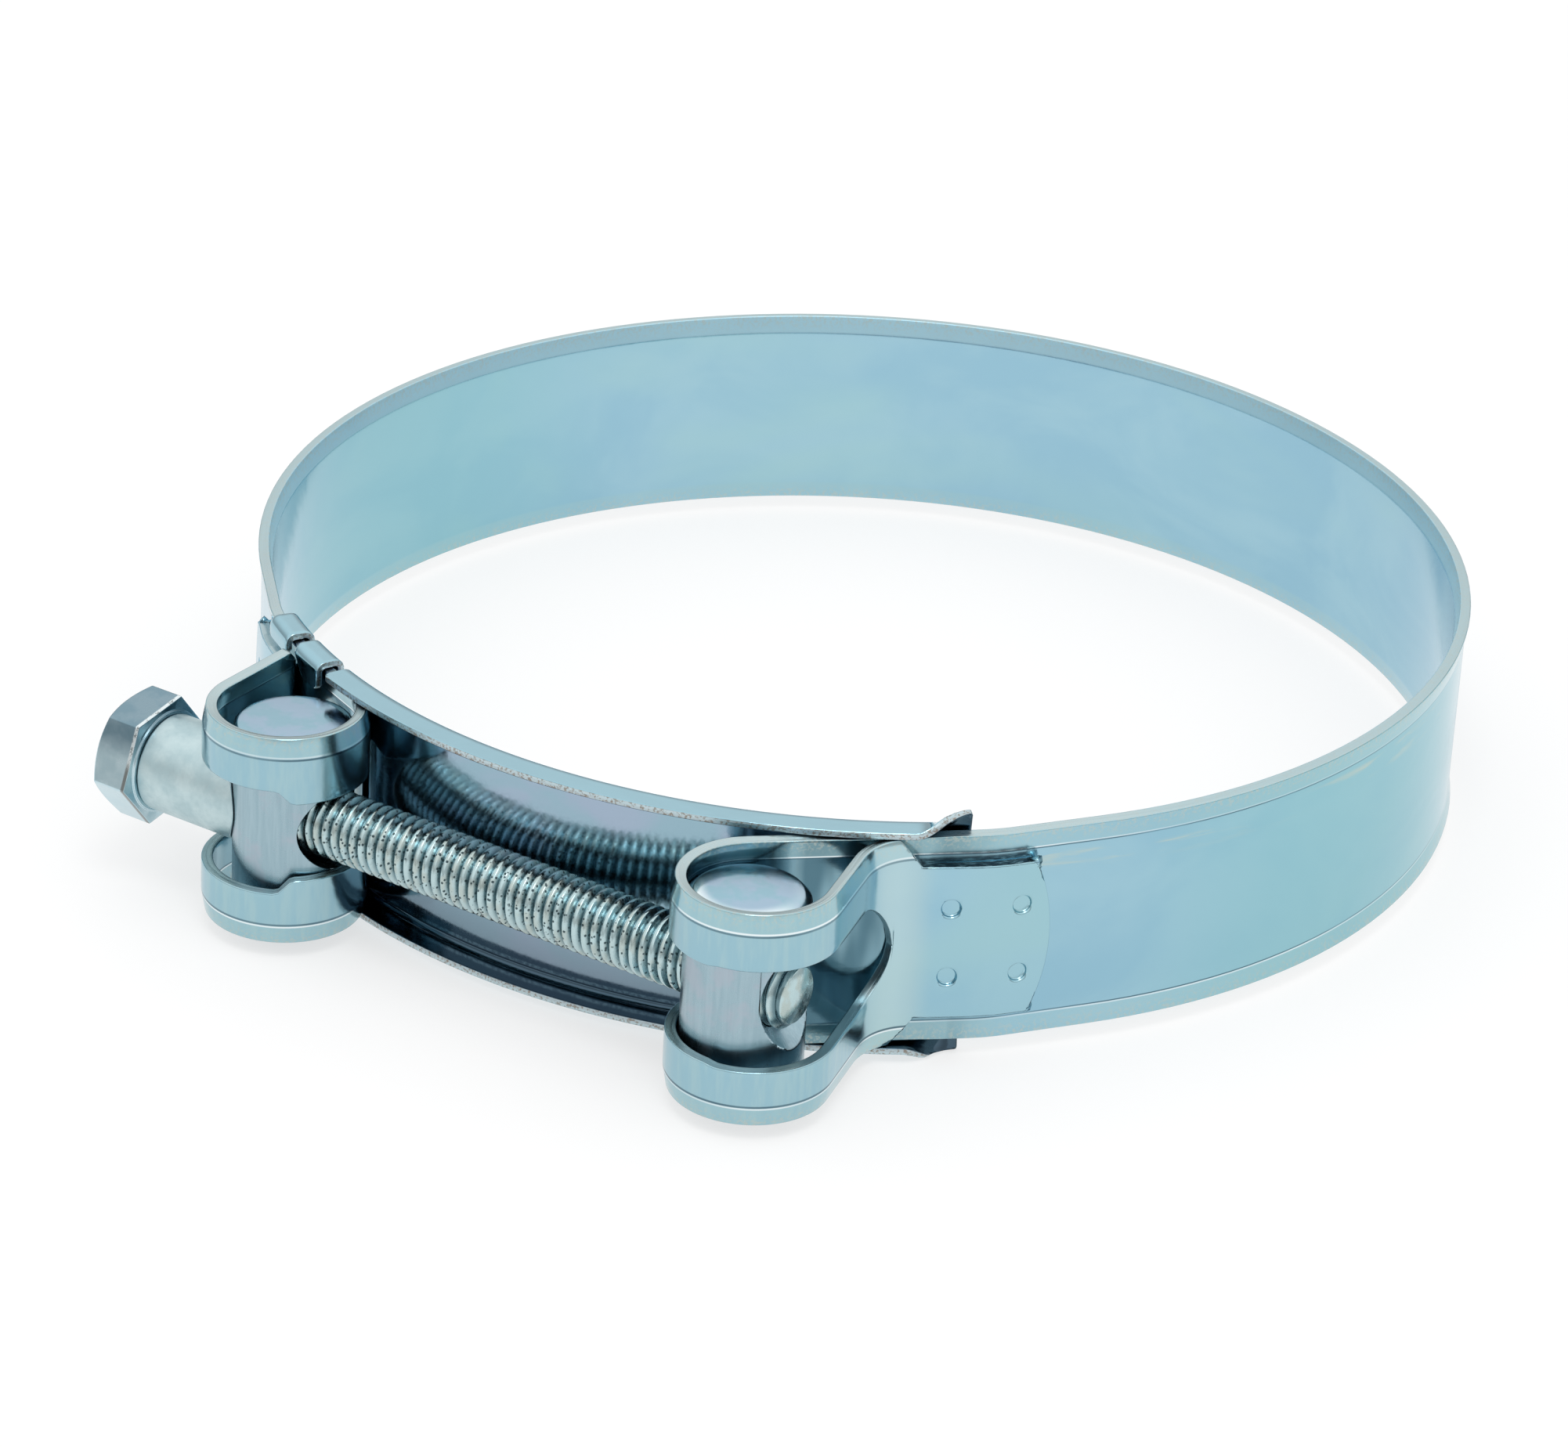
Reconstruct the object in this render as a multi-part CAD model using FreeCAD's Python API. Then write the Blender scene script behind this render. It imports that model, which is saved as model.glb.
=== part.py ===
import FreeCAD, Part
import math
import os
from FreeCAD import Vector

# Hose that the clamp closes on, and the steel strip of the band
hose_diameter = 138.0
band_width = 25.0
band_thickness = 1.3
rim_height = 2.3
rim_lean = 10.0

# Channel that bridges the gap between the band's ends
bridge_thickness = 0.8
bridge_flange_reach = 4.0
bridge_bend_radius = 0.8
bridge_past_threaded_trunnion = 21.4
bridge_past_plain_trunnion = 18.4
flange_past_plain_trunnion = 3.4
bridge_corner_radius = 5.6
bridge_corner_rise = 1.1
hook_length = 5.2
hook_lip_depth = 2.4
flap_length = 5.6
flap_lip_depth = 3.2
flap_taper = 2.2
notch_diameter = 2.2

# Trunnions and where the bolt crosses them
trunnion_diameter = 13.5
trunnion_length = 21.8
plain_trunnion_x = -25.8
threaded_trunnion_x = 34.7
plain_bore_diameter = 10.0
plain_trunnion_chamfer = 0.6
threaded_trunnion_chamfer = 0.8
countersink_diameter = 12.4

# Bolt and spacer
bolt_diameter = 7.9
bolt_length = 85.0
bolt_tip_chamfer = 0.9
head_across_flats = 13.0
head_height = 5.3
head_chamfer_angle = 30.0
washer_face_diameter = 11.8
washer_face_height = 0.3
spacer_diameter = 11.2
spacer_bore_diameter = 8.5
spacer_length = 11.0

# Folded ends of the band
joggle_bend_radius = 20.0
right_return_bend_radius = 7.5
left_return_bend_radius = 2.5
right_return_run = 16.2
left_return_run = 14.1
loop_play = 1.15
tab_inside_crease = 1.0
tab_length = 14.5
tab_end_radius = 22.0
tab_shoulder_length = 2.8
weld_diameter = 2.3
weld_depth = 0.45
weld_rows_apart = 8.3
first_weld_column = 3.3
second_weld_column = 0.6

# Slots that the bolt and the spacer pass through, with their ends measured from the bolt's line
right_thread_slot_width = 11.5
right_tip_slot_width = 12.0
right_slot_end = 15.7
left_thread_slot_width = 9.4
left_spacer_slot_width = 12.6
left_slot_end = 12.2
slot_start_turn = 7.0
slot_step_from_trunnion = 2.0

# Clearances
bridge_to_hose = 0.05
band_to_bridge = 0.05
band_edge_to_flange = 0.2
lip_past_rim = 0.2
joggle_past_bridge = 0.8
trunnion_in_loop = 0.05
bolt_to_bridge = 0.8
bolt_in_thread = 0.05
end_play = 0.05

# Sizes that follow from those above
hose_radius = hose_diameter / 2
half_width = band_width / 2
half_thickness = band_thickness / 2
crease_height = half_width - rim_height
rim_offset = rim_height * math.tan(math.radians(rim_lean))
band_radius = hose_radius + half_thickness
bridge_inner_radius = hose_radius + bridge_to_hose
bridge_outer_radius = bridge_inner_radius + bridge_thickness
half_tab = crease_height - tab_inside_crease
raised_radius = bridge_outer_radius + band_to_bridge + half_thickness
flange_outer_radius = bridge_inner_radius + bridge_flange_reach
bridge_half_height = half_width + band_edge_to_flange + bridge_thickness
trunnion_radius = trunnion_diameter / 2
loop_radius = trunnion_radius + trunnion_in_loop + loop_play + half_thickness
bolt_radius = bolt_diameter / 2
bolt_line_y = -(bridge_outer_radius + bolt_to_bridge + bolt_radius)
spacer_end_x = plain_trunnion_x - trunnion_radius - end_play
under_head_x = spacer_end_x - spacer_length - end_play
bolt_tip_x = under_head_x + bolt_length
degrees_per_mm = math.degrees(1 / hose_radius)
threaded_trunnion_angle = math.degrees(math.atan2(threaded_trunnion_x, -bolt_line_y))
plain_trunnion_angle = math.degrees(math.atan2(-plain_trunnion_x, -bolt_line_y))
bridge_right_end = threaded_trunnion_angle + bridge_past_threaded_trunnion * degrees_per_mm
bridge_left_end = plain_trunnion_angle + bridge_past_plain_trunnion * degrees_per_mm
bridge_flange_start = plain_trunnion_angle + flange_past_plain_trunnion * degrees_per_mm
right_return_angle = threaded_trunnion_angle + right_return_run * degrees_per_mm
left_return_angle = plain_trunnion_angle + left_return_run * degrees_per_mm
up = Vector(0, 0, 1)


def direction(degrees):
    return Vector(math.cos(math.radians(degrees)), math.sin(math.radians(degrees)), 0)


def place_on_circle(radius, angle):
    """A point on the hose's circle, with the angle taken from the bolt's side towards +X."""
    return direction(angle - 90) * radius


def strip_outline(height):
    """The band's section: a flat web and, along each edge, a rim that leans away from the hose."""
    rims = [(-half_thickness, -crease_height), (-half_thickness, crease_height),
            (rim_offset - half_thickness, height), (rim_offset + half_thickness, height),
            (half_thickness, crease_height), (half_thickness, -crease_height),
            (rim_offset + half_thickness, -height), (rim_offset - half_thickness, -height)]
    return rims


def flat_outline(height):
    return [(-half_thickness, -height), (-half_thickness, height),
            (half_thickness, height), (half_thickness, -height)]


class Fold:
    """Walks along the middle of the strip and leaves one solid for each straight or bend."""

    def __init__(self, place, heading):
        self.place = place
        self.heading = heading
        self.solids = []

    def back(self):
        return direction(self.heading + 90)

    def section(self, outline):
        points = [self.place + self.back() * depth + up * height for depth, height in outline]
        return Part.Face(Part.makePolygon(points + points[:1]))

    def straight(self, length, outline):
        if length > 0:
            step = direction(self.heading) * length
            self.solids.append(self.section(outline).extrude(step))
            self.place = self.place + step

    def bend(self, radius, angle, outline, towards_back):
        """Turns through the angle, round a centre on the back of the strip or on its hose side."""
        side = 1 if towards_back else -1
        centre = self.place + self.back() * radius * side
        self.solids.append(self.section(outline).revolve(centre, up, side * angle))
        self.heading = self.heading + side * angle
        self.place = centre - self.back() * radius * side

    def take_solids(self):
        solids = self.solids
        self.solids = []
        return solids


def fuse_all(solids):
    return solids[0].multiFuse(solids[1:]).removeSplitter()


def tab_end_plate(fold, length):
    """The tab's flat last stretch, with its far edge rounded across the strip."""
    along = direction(fold.heading)
    corner_back = tab_end_radius - math.sqrt(tab_end_radius ** 2 - half_tab ** 2)
    start = fold.place - fold.back() * half_thickness
    side_end = start + along * (length - corner_back)
    low_corner = side_end - up * half_tab
    high_corner = side_end + up * half_tab
    outline = Part.Wire([
        Part.LineSegment(start - up * half_tab, low_corner).toShape(),
        Part.Arc(low_corner, start + along * length, high_corner).toShape(),
        Part.LineSegment(high_corner, start + up * half_tab).toShape(),
        Part.LineSegment(start + up * half_tab, start - up * half_tab).toShape()])
    return Part.Face(outline).extrude(fold.back() * band_thickness)


def weld_pair(fold, along_tab):
    """Two weld points, one above the other, pressed into the tab's outer face."""
    outward = fold.back() * -1
    column = fold.place + direction(fold.heading) * along_tab + outward * (half_thickness - weld_depth)
    foot_radius = weld_diameter / 2 - weld_depth / 2
    return [Part.makeCone(foot_radius, foot_radius + weld_depth, 2 * weld_depth,
                          column + up * row * weld_rows_apart, outward) for row in (-0.5, 0.5)]


def shoulder_cut(fold, return_bend_radius):
    """Removes the strip's rims on a slant, ahead of the narrow tab that lies between the rims."""
    along = direction(fold.heading)
    outward = fold.back() * -1
    reach = half_width + rim_height
    start = fold.place - outward * 2 * band_thickness
    slant = start - along * tab_shoulder_length
    past = start + along * tab_length
    cuts = []
    for side in (-1, 1):
        corners = [slant + up * side * half_width, start + up * side * half_tab,
                   past + up * side * half_tab, past + up * side * reach, slant + up * side * reach]
        face = Part.Face(Part.makePolygon(corners + corners[:1]))
        cuts.append(face.extrude(outward * (return_bend_radius + 4 * band_thickness)))
    return cuts


def slot_tools(trunnion_x, thread_width, far_width, slot_end):
    """The slot's two stretches: one on the thread's side, one with a round end on the far side."""
    reach = 2 * trunnion_diameter
    step_x = trunnion_x + slot_step_from_trunnion
    low_y = bolt_line_y - reach
    near = Part.makeBox(reach, 2 * reach, thread_width, Vector(step_x - reach, low_y, -thread_width / 2))
    round_y = bolt_line_y + slot_end - far_width / 2
    far = Part.makeBox(reach, round_y - low_y, far_width, Vector(step_x, low_y, -far_width / 2))
    end = Part.makeCylinder(far_width / 2, reach, Vector(step_x, round_y, 0), Vector(1, 0, 0))
    return [near, far, end]


def band_end(trunnion_x, bridge_end, return_angle, return_bend_radius, slots):
    """One end of the band, drawn on the +X side: over the bridge, round the trunnion and back."""
    full = strip_outline(half_width)
    narrow = flat_outline(half_tab)
    loop = Vector(trunnion_x + loop_play, bolt_line_y, 0)
    loop_angle = math.degrees(math.atan2(loop.x, -loop.y))
    joggle_run = math.sqrt((raised_radius - joggle_bend_radius) ** 2
                           - (band_radius - joggle_bend_radius) ** 2)
    joggle_turn = math.degrees(math.atan2(joggle_run, band_radius - joggle_bend_radius))
    raised_start = bridge_end + joggle_past_bridge
    joggle_start = raised_start + joggle_turn
    leave_ratio = min(1.0, (raised_radius + loop_radius) / loop.Length)
    leave_angle = loop_angle + math.degrees(math.acos(leave_ratio))
    run_to_loop = math.sqrt(max(0.0, loop.Length ** 2 - (raised_radius + loop_radius) ** 2))

    fold = Fold(place_on_circle(band_radius, joggle_start), joggle_start + 180)
    fold.straight(joggle_run, full)
    fold.bend(joggle_bend_radius, joggle_turn, full, False)
    fold.bend(raised_radius, raised_start - leave_angle, full, False)
    fold.straight(run_to_loop, full)
    fold.bend(loop_radius, slot_start_turn, full, True)
    inner_layer = fold.take_solids()

    tab_radius = raised_radius + band_thickness
    return_centre = place_on_circle(tab_radius + return_bend_radius, return_angle)
    across = return_centre - loop
    both_bends = loop_radius + return_bend_radius
    neck_heading = (math.degrees(math.atan2(across.y, across.x))
                    + math.degrees(math.asin(both_bends / across.Length)))
    fold.bend(loop_radius, neck_heading + 360 - fold.heading, full, True)
    fold.straight(math.sqrt(across.Length ** 2 - both_bends ** 2), full)
    fold.bend(return_bend_radius, neck_heading - return_angle, full, False)
    outer_layer = fuse_all(fold.take_solids()).cut(slots + shoulder_cut(fold, return_bend_radius))

    first_arc = math.degrees(first_weld_column / tab_radius)
    second_arc = raised_start - return_angle - first_arc
    fold.bend(tab_radius, first_arc, narrow, True)
    welds = weld_pair(fold, 0.0)
    fold.bend(tab_radius, second_arc, narrow, True)
    fold.bend(joggle_bend_radius + band_thickness, joggle_turn, narrow, True)
    welds.extend(weld_pair(fold, second_weld_column))
    walked = math.radians(first_arc + second_arc) * tab_radius
    walked = walked + math.radians(joggle_turn) * (joggle_bend_radius + band_thickness)
    tab = fuse_all(fold.take_solids() + [tab_end_plate(fold, tab_length - walked)]).cut(welds)
    return inner_layer + [outer_layer, tab], joggle_start


def mirrored(shape):
    return shape.mirror(Vector(0, 0, 0), Vector(1, 0, 0))


def band():
    right_slots = slot_tools(threaded_trunnion_x, right_thread_slot_width,
                             right_tip_slot_width, right_slot_end)
    left_slots = slot_tools(-plain_trunnion_x, left_thread_slot_width,
                            left_spacer_slot_width, left_slot_end)
    right, right_start = band_end(threaded_trunnion_x, bridge_right_end, right_return_angle,
                                  right_return_bend_radius, right_slots)
    left, left_start = band_end(-plain_trunnion_x, bridge_left_end, left_return_angle,
                                left_return_bend_radius, left_slots)
    hoop = Fold(place_on_circle(band_radius, -left_start), 180 - left_start)
    hoop.bend(band_radius, 360 - left_start - right_start, strip_outline(half_width), False)
    return fuse_all(hoop.take_solids() + right + [mirrored(shape) for shape in left])


def swept(outline, start, end):
    """Turns an outline of (radius, height) edges about the hose's axis between two angles."""
    face = Part.Face(outline)
    face.rotate(Vector(0, 0, 0), up, start - 90)
    return face.revolve(Vector(0, 0, 0), up, end - start)


def polygon_outline(points):
    corners = [Vector(radius, 0, height) for radius, height in points]
    return Part.Wire(Part.makePolygon(corners + corners[:1]))


def channel_outline():
    """The bridge's section: a web against the hose and a flange bent outward at each edge."""
    bend = bridge_bend_radius
    outer_bend = bend + bridge_thickness
    inner = bridge_inner_radius
    outer = bridge_outer_radius
    top = bridge_half_height
    slope = math.sqrt(0.5)
    centre_radius = outer + bend
    centre_height = top - bridge_thickness - bend

    def arc(radius, side, from_web):
        web_end = Vector(centre_radius - radius, 0, side * centre_height)
        middle = Vector(centre_radius - radius * slope, 0, side * (centre_height + radius * slope))
        flange_end = Vector(centre_radius, 0, side * (centre_height + radius))
        if from_web:
            return Part.Arc(web_end, middle, flange_end).toShape()
        return Part.Arc(flange_end, middle, web_end).toShape()

    def line(start, end):
        return Part.LineSegment(Vector(start[0], 0, start[1]), Vector(end[0], 0, end[1])).toShape()

    lip = flange_outer_radius
    under = top - bridge_thickness
    edges = [line((inner, -centre_height), (inner, centre_height)), arc(outer_bend, 1, True),
             line((centre_radius, top), (lip, top)), line((lip, top), (lip, under)),
             line((lip, under), (centre_radius, under)), arc(bend, 1, False),
             line((outer, centre_height), (outer, -centre_height)), arc(bend, -1, True),
             line((centre_radius, -under), (lip, -under)), line((lip, -under), (lip, -top)),
             line((lip, -top), (centre_radius, -top)), arc(outer_bend, -1, False)]
    return Part.Wire(edges)


def edge_clip(side, lip_depth, start, end, sunk):
    """A stretch of flange that is folded over the band's edge, at the top or the bottom."""
    top = bridge_half_height
    under = top - bridge_thickness
    foot = under - bridge_thickness
    corner = bridge_thickness / 2
    lip_inner = raised_radius + half_thickness + rim_offset + lip_past_rim
    lip_outer = lip_inner + bridge_thickness
    points = [(bridge_inner_radius, foot), (bridge_inner_radius + corner, top),
              (lip_outer - corner, top - sunk), (lip_outer, top - sunk - corner),
              (lip_outer, top - lip_depth), (lip_inner, top - lip_depth),
              (lip_inner, under - sunk), (bridge_outer_radius, under), (bridge_outer_radius, foot)]
    return swept(polygon_outline([(radius, side * height) for radius, height in points]), start, end)


def flap_slant(side, start, end):
    """The wedge that takes the lip off the start of the short flap beside the hook."""
    low = bridge_half_height - flap_lip_depth
    high = bridge_half_height - bridge_thickness - band_edge_to_flange
    rim_outer = raised_radius + half_thickness + rim_offset
    points = [(rim_outer, side * low), (rim_outer, side * high),
              (flange_outer_radius, side * high), (flange_outer_radius, side * low)]
    return swept(polygon_outline(points), start, end)


def upright_corner(side):
    """The web's free corner, which stands past the flange where the fold runs out."""
    out = direction(bridge_right_end - 90)
    along = direction(bridge_right_end)
    root = bridge_half_height - 2 * bridge_thickness
    peak = bridge_half_height + bridge_corner_rise
    foot = out * (hose_radius - bridge_thickness)
    corners = [foot - along * bridge_corner_radius + up * side * root,
               foot + along * bridge_thickness + up * side * root,
               foot + along * bridge_thickness + up * side * peak,
               foot - along * bridge_thickness + up * side * peak]
    wedge = Part.Face(Part.makePolygon(corners + corners[:1])).extrude(out * 3 * bridge_thickness)
    back = math.degrees(2 * bridge_corner_radius / bridge_inner_radius)
    web = swept(polygon_outline([(bridge_inner_radius, side * root), (bridge_inner_radius, side * peak),
                                 (bridge_outer_radius, side * peak), (bridge_outer_radius, side * root)]),
                bridge_right_end - back, bridge_right_end)
    return web.common(wedge)


def bridge():
    web_height = bridge_half_height - 2 * bridge_thickness
    web = [(bridge_inner_radius, -web_height), (bridge_inner_radius, web_height),
           (bridge_outer_radius, web_height), (bridge_outer_radius, -web_height)]
    hook_end = -bridge_left_end + hook_length * degrees_per_mm
    flap_end = -bridge_flange_start - notch_diameter * degrees_per_mm
    flap_start = flap_end - flap_length * degrees_per_mm
    slant_end = flap_start + flap_taper * degrees_per_mm
    solids = [swept(channel_outline(), -bridge_flange_start, bridge_right_end),
              swept(polygon_outline(web), -bridge_left_end, -bridge_flange_start)]
    cuts = []
    notch_out = place_on_circle(1.0, (flap_end - bridge_flange_start) / 2)
    for side in (-1, 1):
        solids.append(edge_clip(side, hook_lip_depth, -bridge_left_end, hook_end, 0.0))
        flap = edge_clip(side, flap_lip_depth, flap_start, flap_end, band_edge_to_flange / 2)
        solids.append(flap.cut(flap_slant(side, flap_start, slant_end)))
        solids.append(upright_corner(side))
        foot = notch_out * (hose_radius - bridge_thickness) + up * side * web_height
        cuts.append(Part.makeCylinder(notch_diameter / 2, 2 * bridge_flange_reach, foot, notch_out))
    scoop = direction(bridge_right_end - 90) * (bridge_outer_radius + bridge_corner_radius)
    scoop_height = 2 * (bridge_half_height + bridge_corner_rise)
    cuts.append(Part.makeCylinder(bridge_corner_radius, scoop_height, scoop - up * scoop_height / 2, up))
    return fuse_all(solids).cut(cuts)


def trunnion(centre_x, chamfer):
    barrel = Part.makeCylinder(trunnion_radius, trunnion_length,
                               Vector(centre_x, bolt_line_y, -trunnion_length / 2), up)
    rims = [edge for edge in barrel.Edges if isinstance(edge.Curve, Part.Circle)]
    return barrel.makeChamfer(chamfer, rims)


def along_bolt(radius, start, end):
    return Part.makeCylinder(radius, end - start, Vector(start, bolt_line_y, 0), Vector(1, 0, 0))


def plain_trunnion():
    bore = along_bolt(plain_bore_diameter / 2, plain_trunnion_x - trunnion_diameter,
                      plain_trunnion_x + trunnion_diameter)
    return trunnion(plain_trunnion_x, plain_trunnion_chamfer).cut(bore)


def threaded_trunnion():
    bore_radius = bolt_radius + bolt_in_thread
    face_x = threaded_trunnion_x + trunnion_radius
    bore = along_bolt(bore_radius, threaded_trunnion_x - trunnion_diameter, face_x + trunnion_radius)
    depth = countersink_diameter / 2 - bore_radius
    sink = Part.makeCone(bore_radius, countersink_diameter / 2, depth,
                         Vector(face_x - depth, bolt_line_y, 0), Vector(1, 0, 0))
    return trunnion(threaded_trunnion_x, threaded_trunnion_chamfer).cut([bore, sink])


def bolt():
    corner_radius = head_across_flats / 2 / math.cos(math.radians(30))
    head_x = under_head_x - head_height
    corners = [Vector(head_x, bolt_line_y, 0) + Vector(0, math.sin(math.radians(60 * step + 30)),
                                                      math.cos(math.radians(60 * step + 30))) * corner_radius
               for step in range(6)]
    blank = Part.Face(Part.makePolygon(corners + corners[:1]))
    blank = blank.extrude(Vector(head_height - washer_face_height, 0, 0))
    crown_radius = head_across_flats / 2 * 0.95
    crown_height = math.tan(math.radians(head_chamfer_angle)) * head_height
    crown = Part.makeCone(crown_radius, crown_radius + head_height / math.tan(math.radians(head_chamfer_angle)),
                          head_height, Vector(head_x, bolt_line_y, 0), Vector(1, 0, 0))
    head = blank.common(crown)
    washer_face = along_bolt(washer_face_diameter / 2, under_head_x - washer_face_height, under_head_x)
    shank = along_bolt(bolt_radius, under_head_x - washer_face_height, bolt_tip_x - bolt_tip_chamfer)
    tip = Part.makeCone(bolt_radius, bolt_radius - bolt_tip_chamfer, bolt_tip_chamfer,
                        Vector(bolt_tip_x - bolt_tip_chamfer, bolt_line_y, 0), Vector(1, 0, 0))
    return fuse_all([head, washer_face, shank, tip])


def spacer():
    start = spacer_end_x - spacer_length
    tube = along_bolt(spacer_diameter / 2, start, spacer_end_x)
    return tube.cut(along_bolt(spacer_bore_diameter / 2, start, spacer_end_x))


def save(node, shape):
    solids = shape.Solids
    print(node, "solids", len(solids), "valid", shape.isValid(), "volume", round(shape.Volume, 1))
    whole = solids[0] if len(solids) == 1 else Part.makeCompound(solids)
    whole.exportStep("parts/" + node + ".step")


os.makedirs("parts", exist_ok=True)
save("band", band())
save("bridge", bridge())
save("plain_trunnion", plain_trunnion())
save("threaded_trunnion", threaded_trunnion())
save("bolt", bolt())
save("spacer", spacer())
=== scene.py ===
import bpy
import bmesh
import math
from bisect import bisect_right
from mathutils import Matrix, Vector


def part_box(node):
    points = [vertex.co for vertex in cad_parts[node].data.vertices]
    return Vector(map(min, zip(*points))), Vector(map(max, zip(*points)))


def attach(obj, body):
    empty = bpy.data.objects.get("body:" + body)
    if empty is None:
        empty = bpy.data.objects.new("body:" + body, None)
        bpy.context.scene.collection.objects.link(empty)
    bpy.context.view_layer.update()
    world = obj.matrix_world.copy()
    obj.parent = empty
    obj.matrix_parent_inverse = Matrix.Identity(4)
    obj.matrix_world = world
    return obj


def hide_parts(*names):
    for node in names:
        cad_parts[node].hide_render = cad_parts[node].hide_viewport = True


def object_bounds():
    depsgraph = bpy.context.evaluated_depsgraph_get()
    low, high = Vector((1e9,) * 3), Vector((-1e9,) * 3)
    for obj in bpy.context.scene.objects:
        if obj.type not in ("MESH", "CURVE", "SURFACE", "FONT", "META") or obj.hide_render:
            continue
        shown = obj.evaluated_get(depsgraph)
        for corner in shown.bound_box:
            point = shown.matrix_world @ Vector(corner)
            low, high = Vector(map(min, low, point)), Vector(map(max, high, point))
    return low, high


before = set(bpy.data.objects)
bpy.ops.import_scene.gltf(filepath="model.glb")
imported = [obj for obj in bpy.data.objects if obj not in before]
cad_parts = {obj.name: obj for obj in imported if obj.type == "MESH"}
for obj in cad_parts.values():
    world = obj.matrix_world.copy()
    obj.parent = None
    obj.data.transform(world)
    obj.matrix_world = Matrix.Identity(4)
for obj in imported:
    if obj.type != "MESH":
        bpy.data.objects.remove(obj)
cad_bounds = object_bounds()

# The script works in millimetres, and this scale brings its meshes to the scene's metres
METRES = 0.001


def box_mm(node):
    low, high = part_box(node)
    return Vector(low) / METRES, Vector(high) / METRES


band_high = box_mm("band")[1]
bridge_high = box_mm("bridge")[1]
plain_low, plain_high = box_mm("plain_trunnion")
threaded_low, threaded_high = box_mm("threaded_trunnion")
bolt_low, bolt_high = box_mm("bolt")
spacer_low, spacer_high = box_mm("spacer")
floor_level = cad_bounds[0][2]

# Steel strip of the band
band_thickness = 1.3
rim_height = 2.3
rim_lean = math.radians(10.0)
crease_softness = 0.12
half_thickness = band_thickness / 2
half_width = band_high.z
crease_height = half_width - rim_height
rim_offset = rim_height * math.tan(rim_lean)
band_radius = band_high.x - rim_offset - half_thickness
hose_radius = band_radius - half_thickness
band_edge_rounding = 0.16

# Tabs and their weld points
tab_below_crease = 1.0
tab_height = crease_height - tab_below_crease
tab_length = 14.5
tab_end_radius = 22.0
tab_corner_radius = 1.0
tab_shoulder_length = 2.8
layer_gap = 0.03
weld_row = 4.15
weld_radius = 1.15
weld_floor_radius = 0.96
weld_depth = 0.45
first_weld_column = 3.3
second_weld_column = 0.6
weld_rings = [0.3, 0.6, 0.85, weld_floor_radius, 1.05, weld_radius, 1.3, 1.6]
weld_reach = weld_rings[-1]

# Bridge
bridge_thickness = 0.8
bridge_bend_radius = 0.8
bridge_flange_reach = 4.0
bridge_to_hose = 0.05
bridge_to_band = 0.05
edge_clearance = 0.2
bridge_edge_rounding = 0.12
bridge_middle_radius = hose_radius + bridge_to_hose + bridge_thickness / 2
raised_radius = hose_radius + bridge_to_hose + bridge_thickness + bridge_to_band + half_thickness

# Trunnions, bolt and spacer
plain_centre_x = (plain_low.x + plain_high.x) / 2
threaded_centre_x = (threaded_low.x + threaded_high.x) / 2
bolt_line_y = (plain_low.y + plain_high.y) / 2
trunnion_radius = (plain_high.y - plain_low.y) / 2
trunnion_half_length = plain_high.z
plain_bore_radius = 5.0
countersink_radius = 6.2
trunnion_to_loop = 0.05
loop_play = 1.15
loop_radius = trunnion_radius + trunnion_to_loop + loop_play + half_thickness
spacer_radius = (spacer_high.y - spacer_low.y) / 2
spacer_bore_radius = 4.25
end_play = 0.05
under_head_x = spacer_low.x - end_play
bolt_radius = 3.95
bolt_in_thread = 0.05
bolt_tip_chamfer = 0.9
thread_pitch = 1.25
thread_depth = 0.72
thread_start_x = under_head_x + 0.4
thread_runout = 1.2
head_half_flats = 6.5
head_crown_radius = head_half_flats * 0.95
head_chamfer = math.radians(30.0)
head_turn = math.radians(8.3)
washer_face_radius = 5.9
washer_face_height = 0.3

# Angles round the hose, taken from the bolt's side, with distances past the trunnions on the hose
degrees_per_mm = math.degrees(1 / hose_radius)
threaded_angle = math.degrees(math.atan2(threaded_centre_x, -bolt_line_y))
plain_angle = math.degrees(math.atan2(-plain_centre_x, -bolt_line_y))
bridge_past_threaded = 21.4
bridge_past_plain = 18.4
flange_past_plain = 3.4
return_past_threaded = 16.2
return_past_plain = 14.1
bridge_right_end = threaded_angle + bridge_past_threaded * degrees_per_mm
bridge_left_end = plain_angle + bridge_past_plain * degrees_per_mm
bridge_flange_start = plain_angle + flange_past_plain * degrees_per_mm
raised_past_bridge = 0.8
joggle_radius = 20.0
slot_start_turn = math.radians(7.0)
slot_step_run = 1.6
slot_search_length = 6.0

# Steps of the sheets' grids
hoop_step = math.radians(2.2)
joggle_step = 0.7
raised_step = 1.6
lead_step = 1.2
fine_step = 0.3
middle_step = 0.6
neck_step = 0.45
tab_end_step = 0.5
slot_round_step = math.pi / 26
line_run = 6.0


def smooth_step(value):
    value = min(1.0, max(0.0, value))
    return value * value * (3 - 2 * value)


def direction(angle):
    return Vector((math.cos(angle), math.sin(angle), 0))


def on_circle(radius, degrees):
    return direction(math.radians(degrees - 90)) * radius


def spaced(start, end, step):
    count = max(1, math.ceil(abs(end - start) / step))
    return [start + (end - start) * place / count for place in range(count + 1)]


def joined(runs):
    """Values over several runs, each given by its start, end and step."""
    return [value for run in runs for value in spaced(*run)]


def merged(values):
    kept = []
    for value in sorted(values):
        if not kept or value - kept[-1] > 1e-4:
            kept.append(value)
    return kept


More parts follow.
